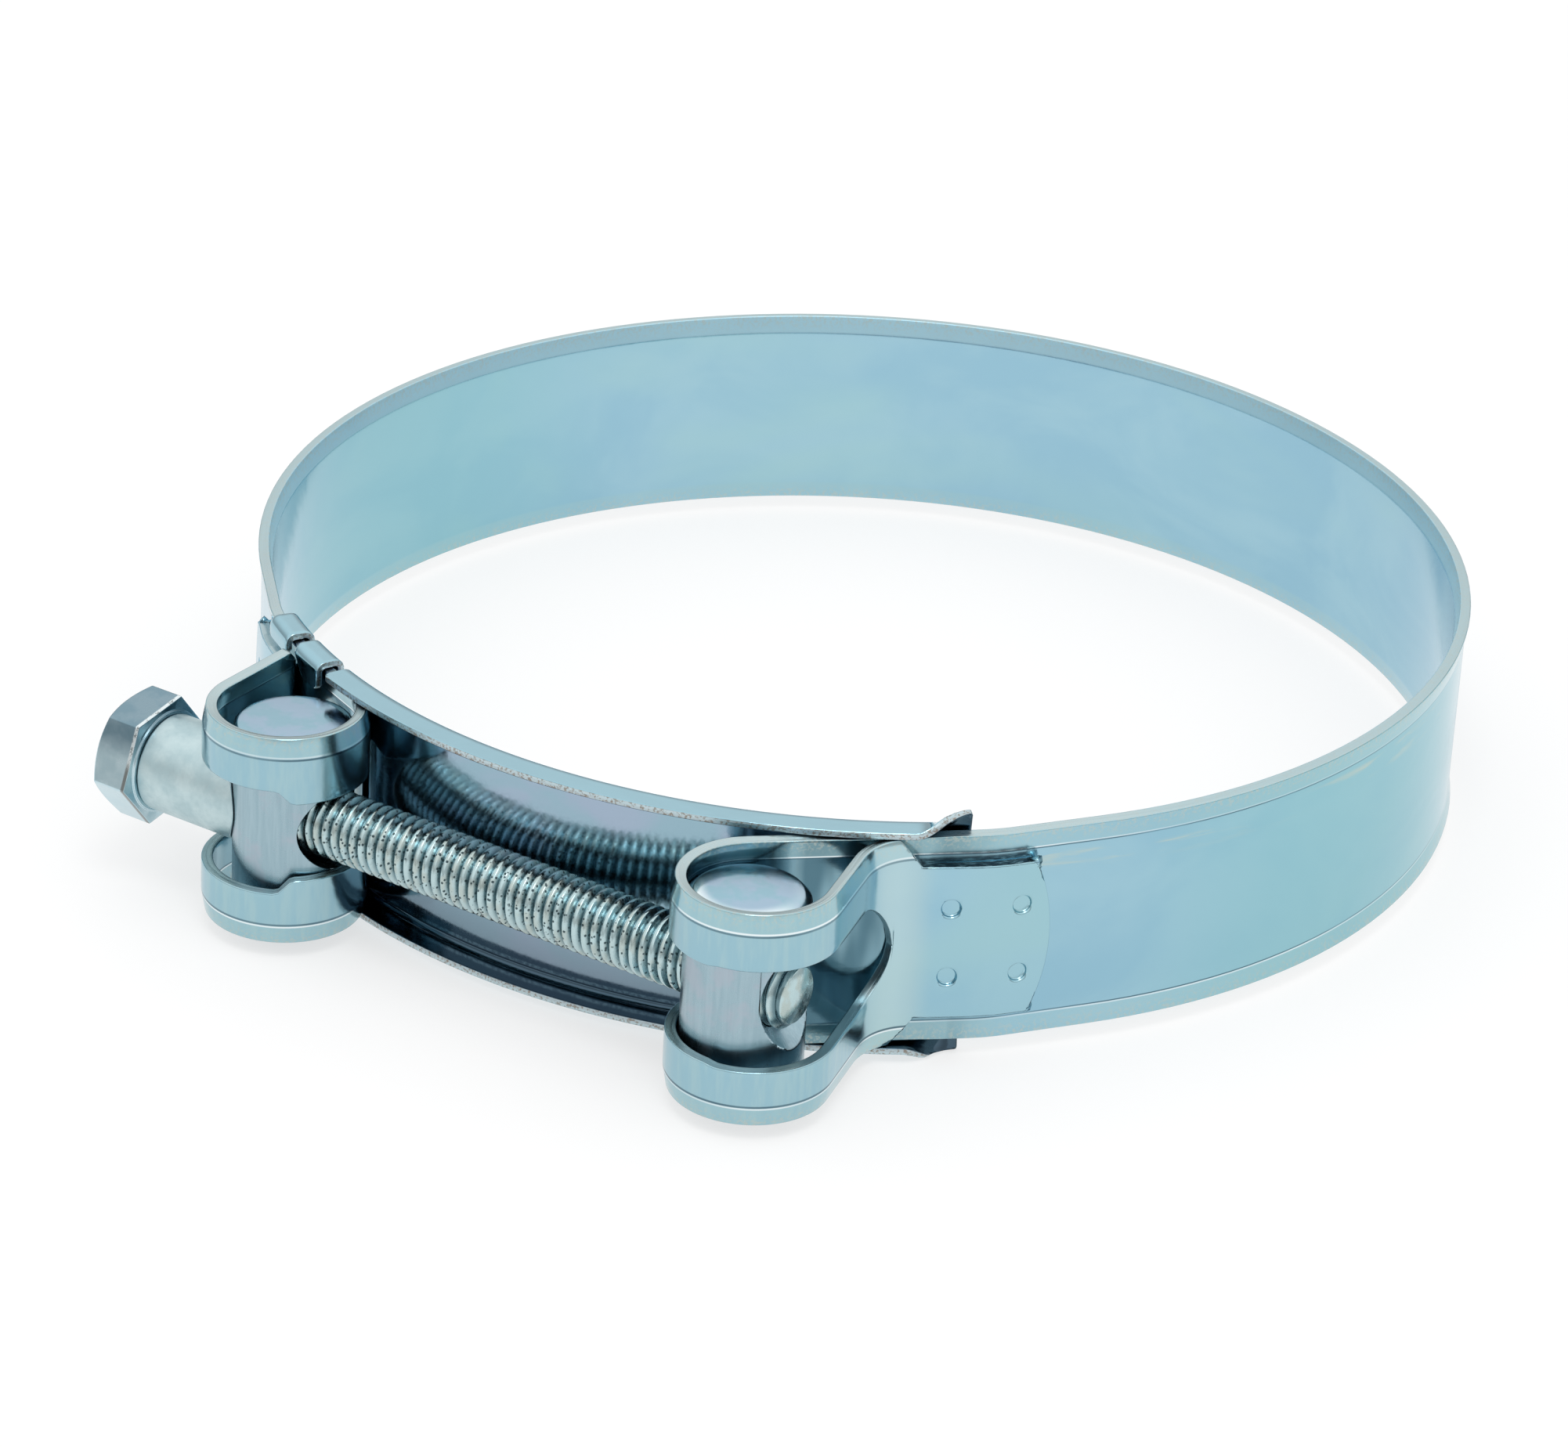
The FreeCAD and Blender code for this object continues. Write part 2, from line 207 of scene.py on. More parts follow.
# Sheet bodies: a grid of points becomes a solid sheet with rounded cut edges
class Sheet:
    """Collects the middle surface of a bent sheet as points and faces."""

    def __init__(self):
        self.keys = {}
        self.points = []
        self.marks = []
        self.faces = []

    def point(self, key, place, mark):
        if key not in self.keys:
            self.keys[key] = len(self.points)
            self.points.append(place)
            self.marks.append(mark)
        return self.keys[key]

    def face(self, corners):
        kept = [corner for place, corner in enumerate(corners) if corner != corners[place - 1]]
        if len(set(kept)) > 2 and len(set(kept)) == len(kept):
            self.faces.append(kept)

    def cell(self, corner, near, far, low, high, side):
        """The face between two stations and two rows, turned over where the side is -1."""
        corners = [corner(near, low), corner(far, low), corner(far, high), corner(near, high)]
        self.face(corners if side > 0 else corners[::-1])

    def middle_surface(self):
        middle = bmesh.new()
        verts = [middle.verts.new(place) for place in self.points]
        for corners in self.faces:
            middle.faces.new([verts[corner] for corner in corners])
        middle.normal_update()
        middle.verts.index_update()
        return middle, verts

    def thicken(self, name, thickness, edge_width, press=None):
        """The solid sheet; its mark holds the place along and across it and its side, 1 or -1."""
        middle, verts = self.middle_surface()
        solid = bmesh.new()
        mark_layer = solid.verts.layers.float_vector.new("strip")
        weight_layer = solid.edges.layers.float.new("bevel_weight_edge")

        def side_copy(side):
            copies = []
            for vert, mark in zip(verts, self.marks):
                depth = thickness / 2
                if press and side > 0:
                    depth = depth - press(mark)
                copy = solid.verts.new((vert.co + vert.normal * side * depth) * METRES)
                copy[mark_layer] = Vector((mark[0], mark[1], side))
                copies.append(copy)
            return copies

        front = side_copy(1)
        back = side_copy(-1)
        for face in middle.faces:
            corners = [vert.index for vert in face.verts]
            solid.faces.new([front[corner] for corner in corners])
            solid.faces.new([back[corner] for corner in reversed(corners)])
        for edge in middle.edges:
            if len(edge.link_faces) == 1:
                a, b = edge.verts[0].index, edge.verts[1].index
                solid.faces.new([front[a], front[b], back[b], back[a]])
                for copies in (front, back):
                    solid.edges.get((copies[a], copies[b]))[weight_layer] = 1.0
        loose = [vert for vert in solid.verts if not vert.link_faces]
        bmesh.ops.delete(solid, geom=loose, context="VERTS")
        bmesh.ops.recalc_face_normals(solid, faces=solid.faces)
        middle.free()
        piece = new_piece(name, solid)
        round_edges(piece, edge_width, "WEIGHT")
        return piece


def add_object(name, data):
    item = bpy.data.objects.new(name, data)
    bpy.context.scene.collection.objects.link(item)
    return item


def new_piece(name, mesh_data):
    mesh = bpy.data.meshes.new(name)
    mesh_data.to_mesh(mesh)
    mesh_data.free()
    mesh.polygons.foreach_set("use_smooth", [True] * len(mesh.polygons))
    return add_object(name, mesh)


def round_edges(piece, width, limit, angle=28.0, segments=2):
    bevel = piece.modifiers.new("rounded edges", "BEVEL")
    bevel.width = width * METRES
    bevel.segments = segments
    bevel.limit_method = limit
    bevel.angle_limit = math.radians(angle)
    bevel.use_clamp_overlap = False
    bevel.miter_outer = "MITER_ARC"
    normals = piece.modifiers.new("even shading", "WEIGHTED_NORMAL")
    normals.keep_sharp = False
    normals.weight = 80


# Route of the strip's middle line, as arcs and straights
def moved(place, heading, curvature, distance):
    if curvature == 0:
        return place + direction(heading) * distance, heading
    turned = heading + curvature * distance
    centre = place + direction(heading + math.pi / 2) / curvature
    return centre - direction(turned + math.pi / 2) / curvature, turned


class Route:
    """A line of arcs and straights, measured by its length."""

    def __init__(self, place, heading):
        self.place = place
        self.heading = heading
        self.length = 0.0
        self.starts = []
        self.spans = []

    def add(self, length, curvature):
        if length > 0:
            self.starts.append(self.length)
            self.spans.append((self.place, self.heading, curvature))
            self.place, self.heading = moved(self.place, self.heading, curvature, length)
            self.length += length
        return self.length

    def straight(self, length):
        return self.add(length, 0)

    def bend(self, radius, turn, towards_back):
        return self.add(radius * turn, (1 if towards_back else -1) / radius)

    def at(self, distance):
        span = max(0, bisect_right(self.starts, distance) - 1)
        place, heading, curvature = self.spans[span]
        return moved(place, heading, curvature, distance - self.starts[span])

    def where(self, test, start, end):
        """The distance between start and end at which the test first fails."""
        for _ in range(40):
            half = (start + end) / 2
            if test(self.at(half)[0]):
                start = half
            else:
                end = half
        return start

    def where_below(self, y, start, end):
        return self.where(lambda place: place.y < y, start, end)


class BandEnd:
    """One folded end, drawn on the +X side and measured from where the round hoop stops."""

    def __init__(self, trunnion_x, bridge_end, return_angle, return_radius, thread_slot, far_slot,
                 slot_reach, slot_step):
        loop = Vector((trunnion_x + loop_play, bolt_line_y, 0))
        slot_end = bolt_line_y + slot_reach
        self.slot_step = trunnion_x + slot_step
        self.thread_slot = thread_slot / 2
        self.far_slot = far_slot / 2
        self.slot_round_y = slot_end - self.far_slot

        # Out of the hoop and over a small step onto the bridge
        rise = (raised_radius - joggle_radius) ** 2 - (band_radius - joggle_radius) ** 2
        joggle_run = math.sqrt(rise)
        joggle_turn = math.atan2(joggle_run, band_radius - joggle_radius)
        raised_start = math.radians(bridge_end + raised_past_bridge)
        self.start_angle = raised_start + joggle_turn
        route = Route(on_circle(band_radius, math.degrees(self.start_angle)), self.start_angle + math.pi)
        route.straight(joggle_run)
        self.raised = route.bend(joggle_radius, joggle_turn, False)

        # Straight to the loop and round it
        reach = (raised_radius + loop_radius) / loop.length
        leave = math.atan2(loop.x, -loop.y) + math.acos(min(1.0, reach))
        self.leave = route.bend(raised_radius, raised_start - leave, False)
        self.loop = route.straight(loop.length * math.sqrt(max(0.0, 1 - reach * reach)))
        self.slot_start = route.bend(loop_radius, slot_start_turn, True)
        tab_radius = raised_radius + band_thickness + layer_gap
        landing = math.radians(return_angle)
        across = on_circle(tab_radius + return_radius, return_angle) - loop
        both_bends = loop_radius + return_radius
        neck = math.atan2(across.y, across.x) + math.asin(both_bends / across.length)
        self.neck = route.bend(loop_radius, neck + 2 * math.pi - route.heading, True)

        # Back onto the strip as a tab, which follows the step down again
        route.straight(math.sqrt(across.length ** 2 - both_bends ** 2))
        self.tab = route.bend(return_radius, neck - landing, False)
        first_arc = first_weld_column / tab_radius
        first_weld = route.bend(tab_radius, first_arc, True)
        route.bend(tab_radius, raised_start - landing - first_arc, True)
        step_end = route.bend(joggle_radius + band_thickness, joggle_turn, True)
        self.welds = (first_weld, step_end + second_weld_column)
        self.end = self.tab + tab_length
        route.straight(self.end - route.length)
        self.route = route
        self.slot_round = route.where_below(self.slot_round_y, self.neck - slot_search_length, self.tab)
        self.slot_tip = route.where_below(slot_end, self.slot_round, self.tab)

    def slot_height(self, distance):
        """Half the height of the slot; past its ends, where its edge lines run on in the sheet."""
        spread = weld_row + weld_reach
        if distance < self.slot_start:
            share = smooth_step(1 - (self.slot_start - distance) / line_run)
            return spread + (self.thread_slot - spread) * share
        if distance > self.slot_tip:
            return spread * smooth_step((distance - self.slot_tip) / line_run)
        place = self.route.at(distance)[0]
        step = smooth_step((place.x - self.slot_step) / slot_step_run)
        height = self.thread_slot + (self.far_slot - self.thread_slot) * step
        if distance > self.slot_round:
            over = min(height, place.y - self.slot_round_y)
            return math.sqrt(max(0.0, height * height - over * over))
        return height

    def strip_height(self, distance):
        slant = (distance - self.tab + tab_shoulder_length) / tab_shoulder_length
        return half_width + (tab_height - half_width) * min(1.0, max(0.0, slant))

    def slot_round_stations(self):
        turns = spaced(0, math.pi / 2, slot_round_step)
        heights = [self.slot_round_y + self.far_slot * math.sin(turn) for turn in turns]
        return [self.route.where_below(y, self.slot_round, self.slot_tip) for y in heights]

    def stations(self):
        first, second = self.welds
        shoulder = self.tab - tab_shoulder_length
        values = joined([(0, self.raised, joggle_step),
                         (self.raised, self.leave, raised_step),
                         (self.leave, self.loop, lead_step),
                         (self.loop, self.slot_start, fine_step),
                         (self.slot_start, self.slot_round, middle_step),
                         (self.slot_tip, shoulder, neck_step),
                         (shoulder, self.tab, fine_step),
                         (self.tab, first - weld_reach, middle_step),
                         (first + weld_reach, second - weld_reach, middle_step),
                         (second + weld_reach, self.end, tab_end_step)])
        values += self.slot_round_stations()
        for weld in self.welds:
            values.append(weld)
            values.extend(weld + side * ring for ring in weld_rings for side in (-1, 1))
        return merged(values)


right_end = BandEnd(trunnion_x=threaded_centre_x, bridge_end=bridge_right_end,
                    return_angle=threaded_angle + return_past_threaded * degrees_per_mm,
                    return_radius=7.5, thread_slot=11.5, far_slot=12.0, slot_reach=15.7, slot_step=1.0)
left_end = BandEnd(trunnion_x=-plain_centre_x, bridge_end=bridge_left_end,
                   return_angle=plain_angle + return_past_plain * degrees_per_mm,
                   return_radius=2.5, thread_slot=9.4, far_slot=12.6, slot_reach=12.2, slot_step=-4.9)

# Places along the strip, measured both ways from the middle of the hoop
hoop_half = (2 * math.pi - left_end.start_angle - right_end.start_angle) / 2
hoop_reach = hoop_half * band_radius
right_tab = hoop_reach + right_end.tab
left_tab = hoop_reach + left_end.tab


def rim_lift(height):
    """How far the strip's middle leans to its back at a height, with a soft crease."""
    past = abs(height) - crease_height
    return math.tan(rim_lean) * (past + math.hypot(past, crease_softness)) / 2


def weld_warp(end, distance, height):
    """Draws the grid round each weld point into rings."""
    row = math.copysign(weld_row, height)
    for weld in end.welds:
        along = distance - weld
        across = height - row
        reach = max(abs(along), abs(across))
        if 0 < reach < weld_reach:
            squareness = max(0.0, reach - weld_radius) / (weld_reach - weld_radius)
            scale = reach / math.hypot(along, across)
            scale = scale + (1 - scale) * squareness
            return weld + along * scale, row + across * scale
    return distance, height


def weld_press(mark):
    """Depth of the weld points at a place on the strip."""
    along, height = mark
    end = right_end if along > 0 else left_end
    distance = abs(along) - hoop_reach
    if distance < end.tab:
        return 0.0
    away = min(math.hypot(distance - weld, abs(height) - weld_row) for weld in end.welds)
    wall = (weld_radius - away) / (weld_radius - weld_floor_radius)
    return weld_depth * min(1.0, max(0.0, wall))


def corner_loss(distance, radius):
    """How much a rounded corner takes off a sheet's edge at a distance from its end."""
    inside = min(radius, max(0.0, distance))
    return radius - math.sqrt(radius * radius - (radius - inside) ** 2)


def tab_end_back(height):
    """How far the tab's rounded end lies back from its furthest point, at a height."""
    curve = tab_end_radius - math.sqrt(tab_end_radius ** 2 - height ** 2)
    return curve + corner_loss(tab_height - abs(height), tab_corner_radius)


def strip_lines():
    """Heights of the grid's lines, the last one of the slot's zone and the first that stays in place."""
    middle = [0.85, 1.7, weld_row] + [weld_row + side * ring for ring in weld_rings for side in (-1, 1)]
    middle = sorted(middle)
    outer = [6.6, 7.4, 8.2, 8.5, 8.8, 9.0, 9.12, tab_height]
    rim = [9.6, 9.9, 10.1, crease_height, 10.3, 10.5, 10.8, 11.6, half_width]
    upper = middle + outer + rim
    heights = [-height for height in reversed(upper)] + [0.0] + upper
    return heights, middle[-1], outer[2]


def band_sheet():
    sheet = Sheet()
    heights, slot_line, fixed_line = strip_lines()
    middle_angle = right_end.start_angle + hoop_half

    def spread(end, distance, height):
        """Moves a line with the slot's edge and trims it at the strip's edge."""
        slot = end.slot_height(distance)
        size = abs(height)
        if size <= slot_line:
            size = size * slot / slot_line
        elif size < fixed_line:
            size = slot + (size - slot_line) * (fixed_line - slot) / (fixed_line - slot_line)
        return math.copysign(min(size, end.strip_height(distance)), height)

    def hoop_corner(turn, height):
        place = direction(middle_angle - turn - math.pi / 2) * (band_radius + rim_lift(height))
        place.z = height
        return sheet.point((round(turn, 5), round(height, 4)), place, (turn * band_radius, height))

    def end_corner(end, side):
        def corner(distance, height):
            if distance == 0:
                return hoop_corner(side * hoop_half, height)
            height = spread(end, distance, height)
            if distance > end.tab:
                distance, height = weld_warp(end, distance, height)
            far_weld = end.welds[1] + weld_reach
            if distance > far_weld:
                shrink = 1 - tab_end_back(height) / (end.end - far_weld)
                distance = far_weld + (distance - far_weld) * shrink
            place, heading = end.route.at(distance)
            place = place + direction(heading + math.pi / 2) * rim_lift(height)
            place.z = height
            place.x = side * place.x
            key = (side, round(distance, 4), round(height, 4))
            return sheet.point(key, place, (side * (hoop_reach + distance), height))
        return corner

    def end_kept(end):
        def kept(near, far, low, high):
            in_slot = end.slot_start <= (near + far) / 2 <= end.slot_tip
            return not (in_slot and abs(low + high) / 2 < slot_line)
        return kept

    def grid(stations, corner, kept, side):
        for near, far in zip(stations, stations[1:]):
            for low, high in zip(heights, heights[1:]):
                if kept(near, far, low, high):
                    sheet.cell(corner, near, far, low, high, side)

    grid(spaced(-hoop_half, hoop_half, hoop_step), hoop_corner, lambda *cell: True, 1)
    for end, side in ((right_end, 1), (left_end, -1)):
        grid(end.stations(), end_corner(end, side), end_kept(end), side)
    return sheet


# Bridge: a web with bent edges, drawn by its angle and the length along its section
flange_bend = bridge_bend_radius + bridge_thickness / 2
web_height = half_width + edge_clearance - bridge_thickness
flange_length = flange_bend * (math.pi / 2 - 1) + bridge_flange_reach - bridge_thickness / 2
relax_run = 6.2
relaxed_bend = math.radians(9.0)
relaxed_length = 2.68
flange_corners = (0.7, 0.35)
notch_radius = 1.1
hook_length = 5.2
hook_lip = 2.4
flap_length = 5.6
flap_lip = 3.2
flap_taper = 2.2
clip_corner = 0.5
clip_far_corner = 0.3
clip_bend = 0.8
clip_drop = flange_bend - clip_bend
clip_bend_length = clip_bend * math.pi / 2
lip_radius = raised_radius + half_thickness + rim_offset + edge_clearance + bridge_thickness / 2
clip_top_length = lip_radius - bridge_middle_radius - 2 * clip_bend
hook_run = (bridge_left_end - hook_length * degrees_per_mm, bridge_left_end)
flap_end = bridge_flange_start + 2 * notch_radius * degrees_per_mm
flap_run = (flap_end, flap_end + flap_length * degrees_per_mm)
notch_angle = (bridge_flange_start + flap_end) / 2


def flange_bending(angle):
    """How far the bent edge is relaxed at an angle, from 0 to 1, and the turn of its bend there."""
    from_right = (bridge_right_end - angle) / degrees_per_mm
    relaxed = 1 - smooth_step(from_right / relax_run)
    return relaxed, math.pi / 2 + (relaxed_bend - math.pi / 2) * relaxed


def flange_point(length, bend):
    arc = min(length, flange_bend * bend)
    angle = arc / flange_bend
    radius = bridge_middle_radius + flange_bend * (1 - math.cos(angle))
    height = web_height + flange_bend * math.sin(angle)
    rest = length - arc
    return radius + rest * math.sin(angle), height + rest * math.cos(angle)


def clip_point(length):
    """Section of a clip: up, over the strip's edge and down on its far side."""
    spans = []
    for span in (clip_drop, clip_bend_length, clip_top_length, clip_bend_length):
        spans.append(min(length, span))
        length = length - spans[-1]
    rise, first, top, second = spans
    first = first / clip_bend
    second = second / clip_bend
    radius = bridge_middle_radius + clip_bend * (1 - math.cos(first)) + top + clip_bend * math.sin(second)
    height = web_height + rise + clip_bend * math.sin(first) - clip_bend * (1 - math.cos(second))
    return radius, height - length


def clip_length(lip_depth):
    over = clip_drop + 2 * clip_bend_length + clip_top_length
    return over + lip_depth - bridge_thickness / 2 - clip_bend


def flange_edge_length(angle):
    from_right = (bridge_right_end - angle) / degrees_per_mm
    from_left = (angle + bridge_flange_start) / degrees_per_mm
    relaxed, bend = flange_bending(angle)
    bend_height = (flange_bend + bridge_thickness / 2) * math.sin(bend)
    room = bridge_high.z - web_height - bend_height
    tallest = flange_bend * bend + room / max(0.01, math.cos(bend))
    length = min(flange_length + (relaxed_length - flange_length) * relaxed, tallest)
    return length - corner_loss(from_left, flange_corners[0]) - corner_loss(from_right, flange_corners[1])


def clip_distances(run, angle):
    """Distances along the sheet from a clip's near end and from its far end."""
    return (-angle - run[0]) / degrees_per_mm, (run[1] + angle) / degrees_per_mm


def hook_edge_length(angle):
    from_near, from_far = clip_distances(hook_run, angle)
    full = clip_length(hook_lip)
    return full - corner_loss(from_near, clip_corner) - corner_loss(from_far, clip_far_corner)


def flap_edge_length(angle):
    """The flap's lip slants away towards the hook."""
    from_near, from_far = clip_distances(flap_run, angle)
    top_only = clip_drop + clip_bend_length + clip_top_length + 0.5
    full = top_only + (clip_length(flap_lip) - top_only) * min(1.0, from_far / flap_taper)
    return full - corner_loss(from_near, clip_corner)


def flange_edge_point(angle, length):
    return flange_point(length, flange_bending(angle)[1])


def clip_edge_point(angle, length):
    return clip_point(length)


bridge_edges = {"flange": (flange_edge_length, flange_edge_point),
                "hook": (hook_edge_length, clip_edge_point),
                "flap": (flap_edge_length, clip_edge_point)}


def bridge_kind(angle):
    if angle > -bridge_flange_start:
        return "flange"
    if hook_run[0] < -angle < hook_run[1]:
        return "hook"
    if flap_run[0] < -angle < flap_run[1]:
        return "flap"
    return None


def web_edge(angle):
    """Height of the web's own edge, which dips at the notch beside the flange."""
    off = (-angle - notch_angle) / degrees_per_mm
    if abs(off) < notch_radius:
        return web_height - math.sqrt(notch_radius ** 2 - off ** 2)
    return web_height


def bridge_stations():
    notch_turns = spaced(0, math.pi, math.pi / 14)
    relax_start = bridge_right_end - relax_run * degrees_per_mm
    flange_lead = -bridge_flange_start + 1.0
    values = joined([(-bridge_left_end, -hook_run[0], 0.5),
                     (-hook_run[0], -flap_run[1], 0.6),
                     (-flap_run[1], -flap_run[0], 0.35),
                     (-bridge_flange_start, flange_lead, 0.15),
                     (flange_lead, relax_start, 1.2),
                     (relax_start, bridge_right_end, 0.25)])
    values += [math.cos(turn) * notch_radius * degrees_per_mm - notch_angle for turn in notch_turns]
    values += [bridge_right_end - 0.1, bridge_right_end - 0.2]
    return merged(values)


def bridge_sheet():
    sheet = Sheet()
    stations = bridge_stations()
    fine_zone = 1.5
    web = spaced(0, web_height - fine_zone, 1.3) + spaced(web_height - fine_zone, web_height, 0.3)[1:]
    edge = spaced(0, max(flange_length, clip_length(flap_lip)), 0.16)

    def add_cells(side, near, far, rows, corner):
        for low, high in zip(rows, rows[1:]):
            sheet.cell(corner, near, far, low, high, side)

    def vertex(side, angle, radius, height, length):
        place = on_circle(radius, angle)
        place.z = side * height
        key = (round(angle, 5), side if height > 0 else 0, round(height, 4), round(radius, 4))
        return sheet.point(key, place, (angle / degrees_per_mm, side * (height + length)))

    for side in (1, -1):
        def web_corner(angle, height):
            return vertex(side, angle, bridge_middle_radius, min(height, web_edge(angle)), 0)

        for near, far in zip(stations, stations[1:]):
            add_cells(side, near, far, web, web_corner)
            kind = bridge_kind((near + far) / 2)
            if kind:
                edge_length, edge_point = bridge_edges[kind]

                def edge_corner(angle, length):
                    if length == 0:
                        return web_corner(angle, web_height)
                    length = min(length, edge_length(angle))
                    return vertex(side, angle, *edge_point(angle, length), length)

                add_cells(side, near, far, edge, edge_corner)
    return sheet


# Turned and hexagonal solids
def turned_point(solid, place_of, along, radius, turn):
    place = place_of(along, radius * math.cos(turn), radius * math.sin(turn))
    return solid.verts.new(place * METRES)


def lathe(rings, segments, place_of):
    """Joins rings of (along, radius) round an axis."""
    solid = bmesh.new()
    turns = [2 * math.pi * step / segments for step in range(segments)]
    rows = [[turned_point(solid, place_of, along, radius, turn) for turn in turns] for along, radius in rings]
    join_rows(solid, rows)
    return solid, rows


def join_rows(solid, rows):
    for row, following in zip(rows, rows[1:]):
        for step in range(len(row)):
            after = (step + 1) % len(row)
            solid.faces.new([row[step], row[after], following[after], following[step]])


def capped(solid, rows):
    solid.faces.new(rows[0])
    solid.faces.new(rows[-1])
    bmesh.ops.recalc_face_normals(solid, faces=solid.faces)
    return solid


def upright(centre_x):
    return lambda along, across, out: Vector((centre_x + across, bolt_line_y + out, along))


def on_bolt_line(along, across, out):
    return Vector((along, bolt_line_y + across, out))


def bored(name, blank, cutter):
    """Cuts one solid from another and returns the result as a piece."""
    piece = new_piece(name, blank)
    tool = new_piece(name + "_cutter", cutter)
    cut = piece.modifiers.new("bore", "BOOLEAN")
    cut.object = tool
    cut.solver = "EXACT"
    bpy.context.view_layer.update()
    result = bpy.data.meshes.new_from_object(piece.evaluated_get(bpy.context.evaluated_depsgraph_get()))
    piece.modifiers.clear()
    piece.data = result
    bpy.data.objects.remove(tool)
    result.polygons.foreach_set("use_smooth", [True] * len(result.polygons))
    return piece


def trunnion(name, centre_x, chamfer, crown, bore_rings):
    """Barrel with chamfered ends that are crowned a little."""
    crown_steps = 8
    flat = trunnion_radius - chamfer
    shares = [part / crown_steps for part in range(crown_steps, 0, -1)]
    upper = [(trunnion_half_length - crown - chamfer, trunnion_radius)]
    upper += [(trunnion_half_length - crown * share ** 2, flat * share) for share in shares]
    rings = [(-along, radius) for along, radius in reversed(upper)] + upper
    blank = capped(*lathe(rings, 128, upright(centre_x)))
    piece = bored(name, blank, capped(*lathe(bore_rings, 96, on_bolt_line)))
    round_edges(piece, width=0.16, limit="ANGLE")
    return piece


def plain_trunnion():
    past = 10
    bore = [(plain_centre_x - past, plain_bore_radius), (plain_centre_x + past, plain_bore_radius)]
    return trunnion("plain_trunnion_turned", plain_centre_x, chamfer=0.5, crown=0.1, bore_rings=bore)


def threaded_trunnion():
    past = 10
    over = 2
    face = threaded_centre_x + trunnion_radius
    bore_radius = bolt_radius + bolt_in_thread
    bore = [(threaded_centre_x - past, bore_radius), (face - countersink_radius + bore_radius, bore_radius),
            (face, countersink_radius), (face + over, countersink_radius + over)]
    return trunnion("threaded_trunnion_turned", threaded_centre_x, chamfer=0.85, crown=0.45, bore_rings=bore)


def spacer():
    """Tube whose inner end is coped to the round trunnion that it bears on."""
    seat = trunnion_radius + 0.1

    def place_of(along, across, out):
        if along == spacer_high.x:
            along = plain_centre_x - math.sqrt(seat * seat - across * across)
        return on_bolt_line(along, across, out)

    rings = [(spacer_low.x, spacer_bore_radius), (spacer_low.x, spacer_radius),
             (spacer_high.x, spacer_radius), (spacer_high.x, spacer_bore_radius),
             (spacer_low.x, spacer_bore_radius)]
    solid = lathe(rings, 96, place_of)[0]
    bmesh.ops.remove_doubles(solid, verts=solid.verts, dist=1e-7)
    bmesh.ops.recalc_face_normals(solid, faces=solid.faces)
    piece = new_piece("spacer_tube", solid)
    round_edges(piece, width=0.3, limit="ANGLE", segments=3)
    return piece


def thread_section():
    """One turn's section, as parts of the pitch and depths below the crest."""
    rounded_crest = 0.06
    rounded_root = thread_depth - 0.05
    return [(0.0, rounded_crest), (0.05, 0.0), (0.30, 0.0), (0.35, rounded_crest),
            (0.60, rounded_root), (0.65, thread_depth), (0.70, thread_depth), (0.75, rounded_root)]


def thread_radius(x, depth):
    """Radius of the thread at a place, less at the tip's chamfer and in the run-out under the head."""
    chamfered = bolt_radius - bolt_tip_chamfer + max(0.0, bolt_high.x - x)
    unfinished = 1 - smooth_step((x - thread_start_x) / thread_runout)
    return min(bolt_radius - 0.02, min(bolt_radius - depth, chamfered) + unfinished * depth / 2)


def bolt_thread():
    segments = 48
    solid = bmesh.new()
    section = thread_section()
    turns = math.ceil((bolt_high.x - thread_start_x) / thread_pitch) + 3
    rows = []
    for step in range(turns * segments + 1):
        turn = 2 * math.pi * step / segments
        along = thread_start_x + thread_pitch * (step / segments - 2)
        row = []
        for part, depth in section:
            x = along + part * thread_pitch
            row.append(turned_point(solid, on_bolt_line, x, thread_radius(x, depth), turn))
        rows.append(row)
    for step, (row, following) in enumerate(zip(rows, rows[1:])):
        for place in range(len(section) - 1):
            solid.faces.new([row[place], following[place], following[place + 1], row[place + 1]])
        next_turn = step + segments
        if next_turn + 1 < len(rows):
            solid.faces.new([row[-1], following[-1], rows[next_turn + 1][0], rows[next_turn][0]])
    for x, outward in ((thread_start_x, -1), (bolt_high.x, 1)):
        everything = solid.verts[:] + solid.edges[:] + solid.faces[:]
        cut = bmesh.ops.bisect_plane(solid, geom=everything, plane_co=(x * METRES, 0, 0),
                                     plane_no=(outward, 0, 0), clear_outer=True)
        edges = [part for part in cut["geom_cut"] if isinstance(part, bmesh.types.BMEdge)]
        bmesh.ops.contextual_create(solid, geom=edges)
    bmesh.ops.recalc_face_normals(solid, faces=solid.faces)
    return new_piece("bolt_thread", solid)


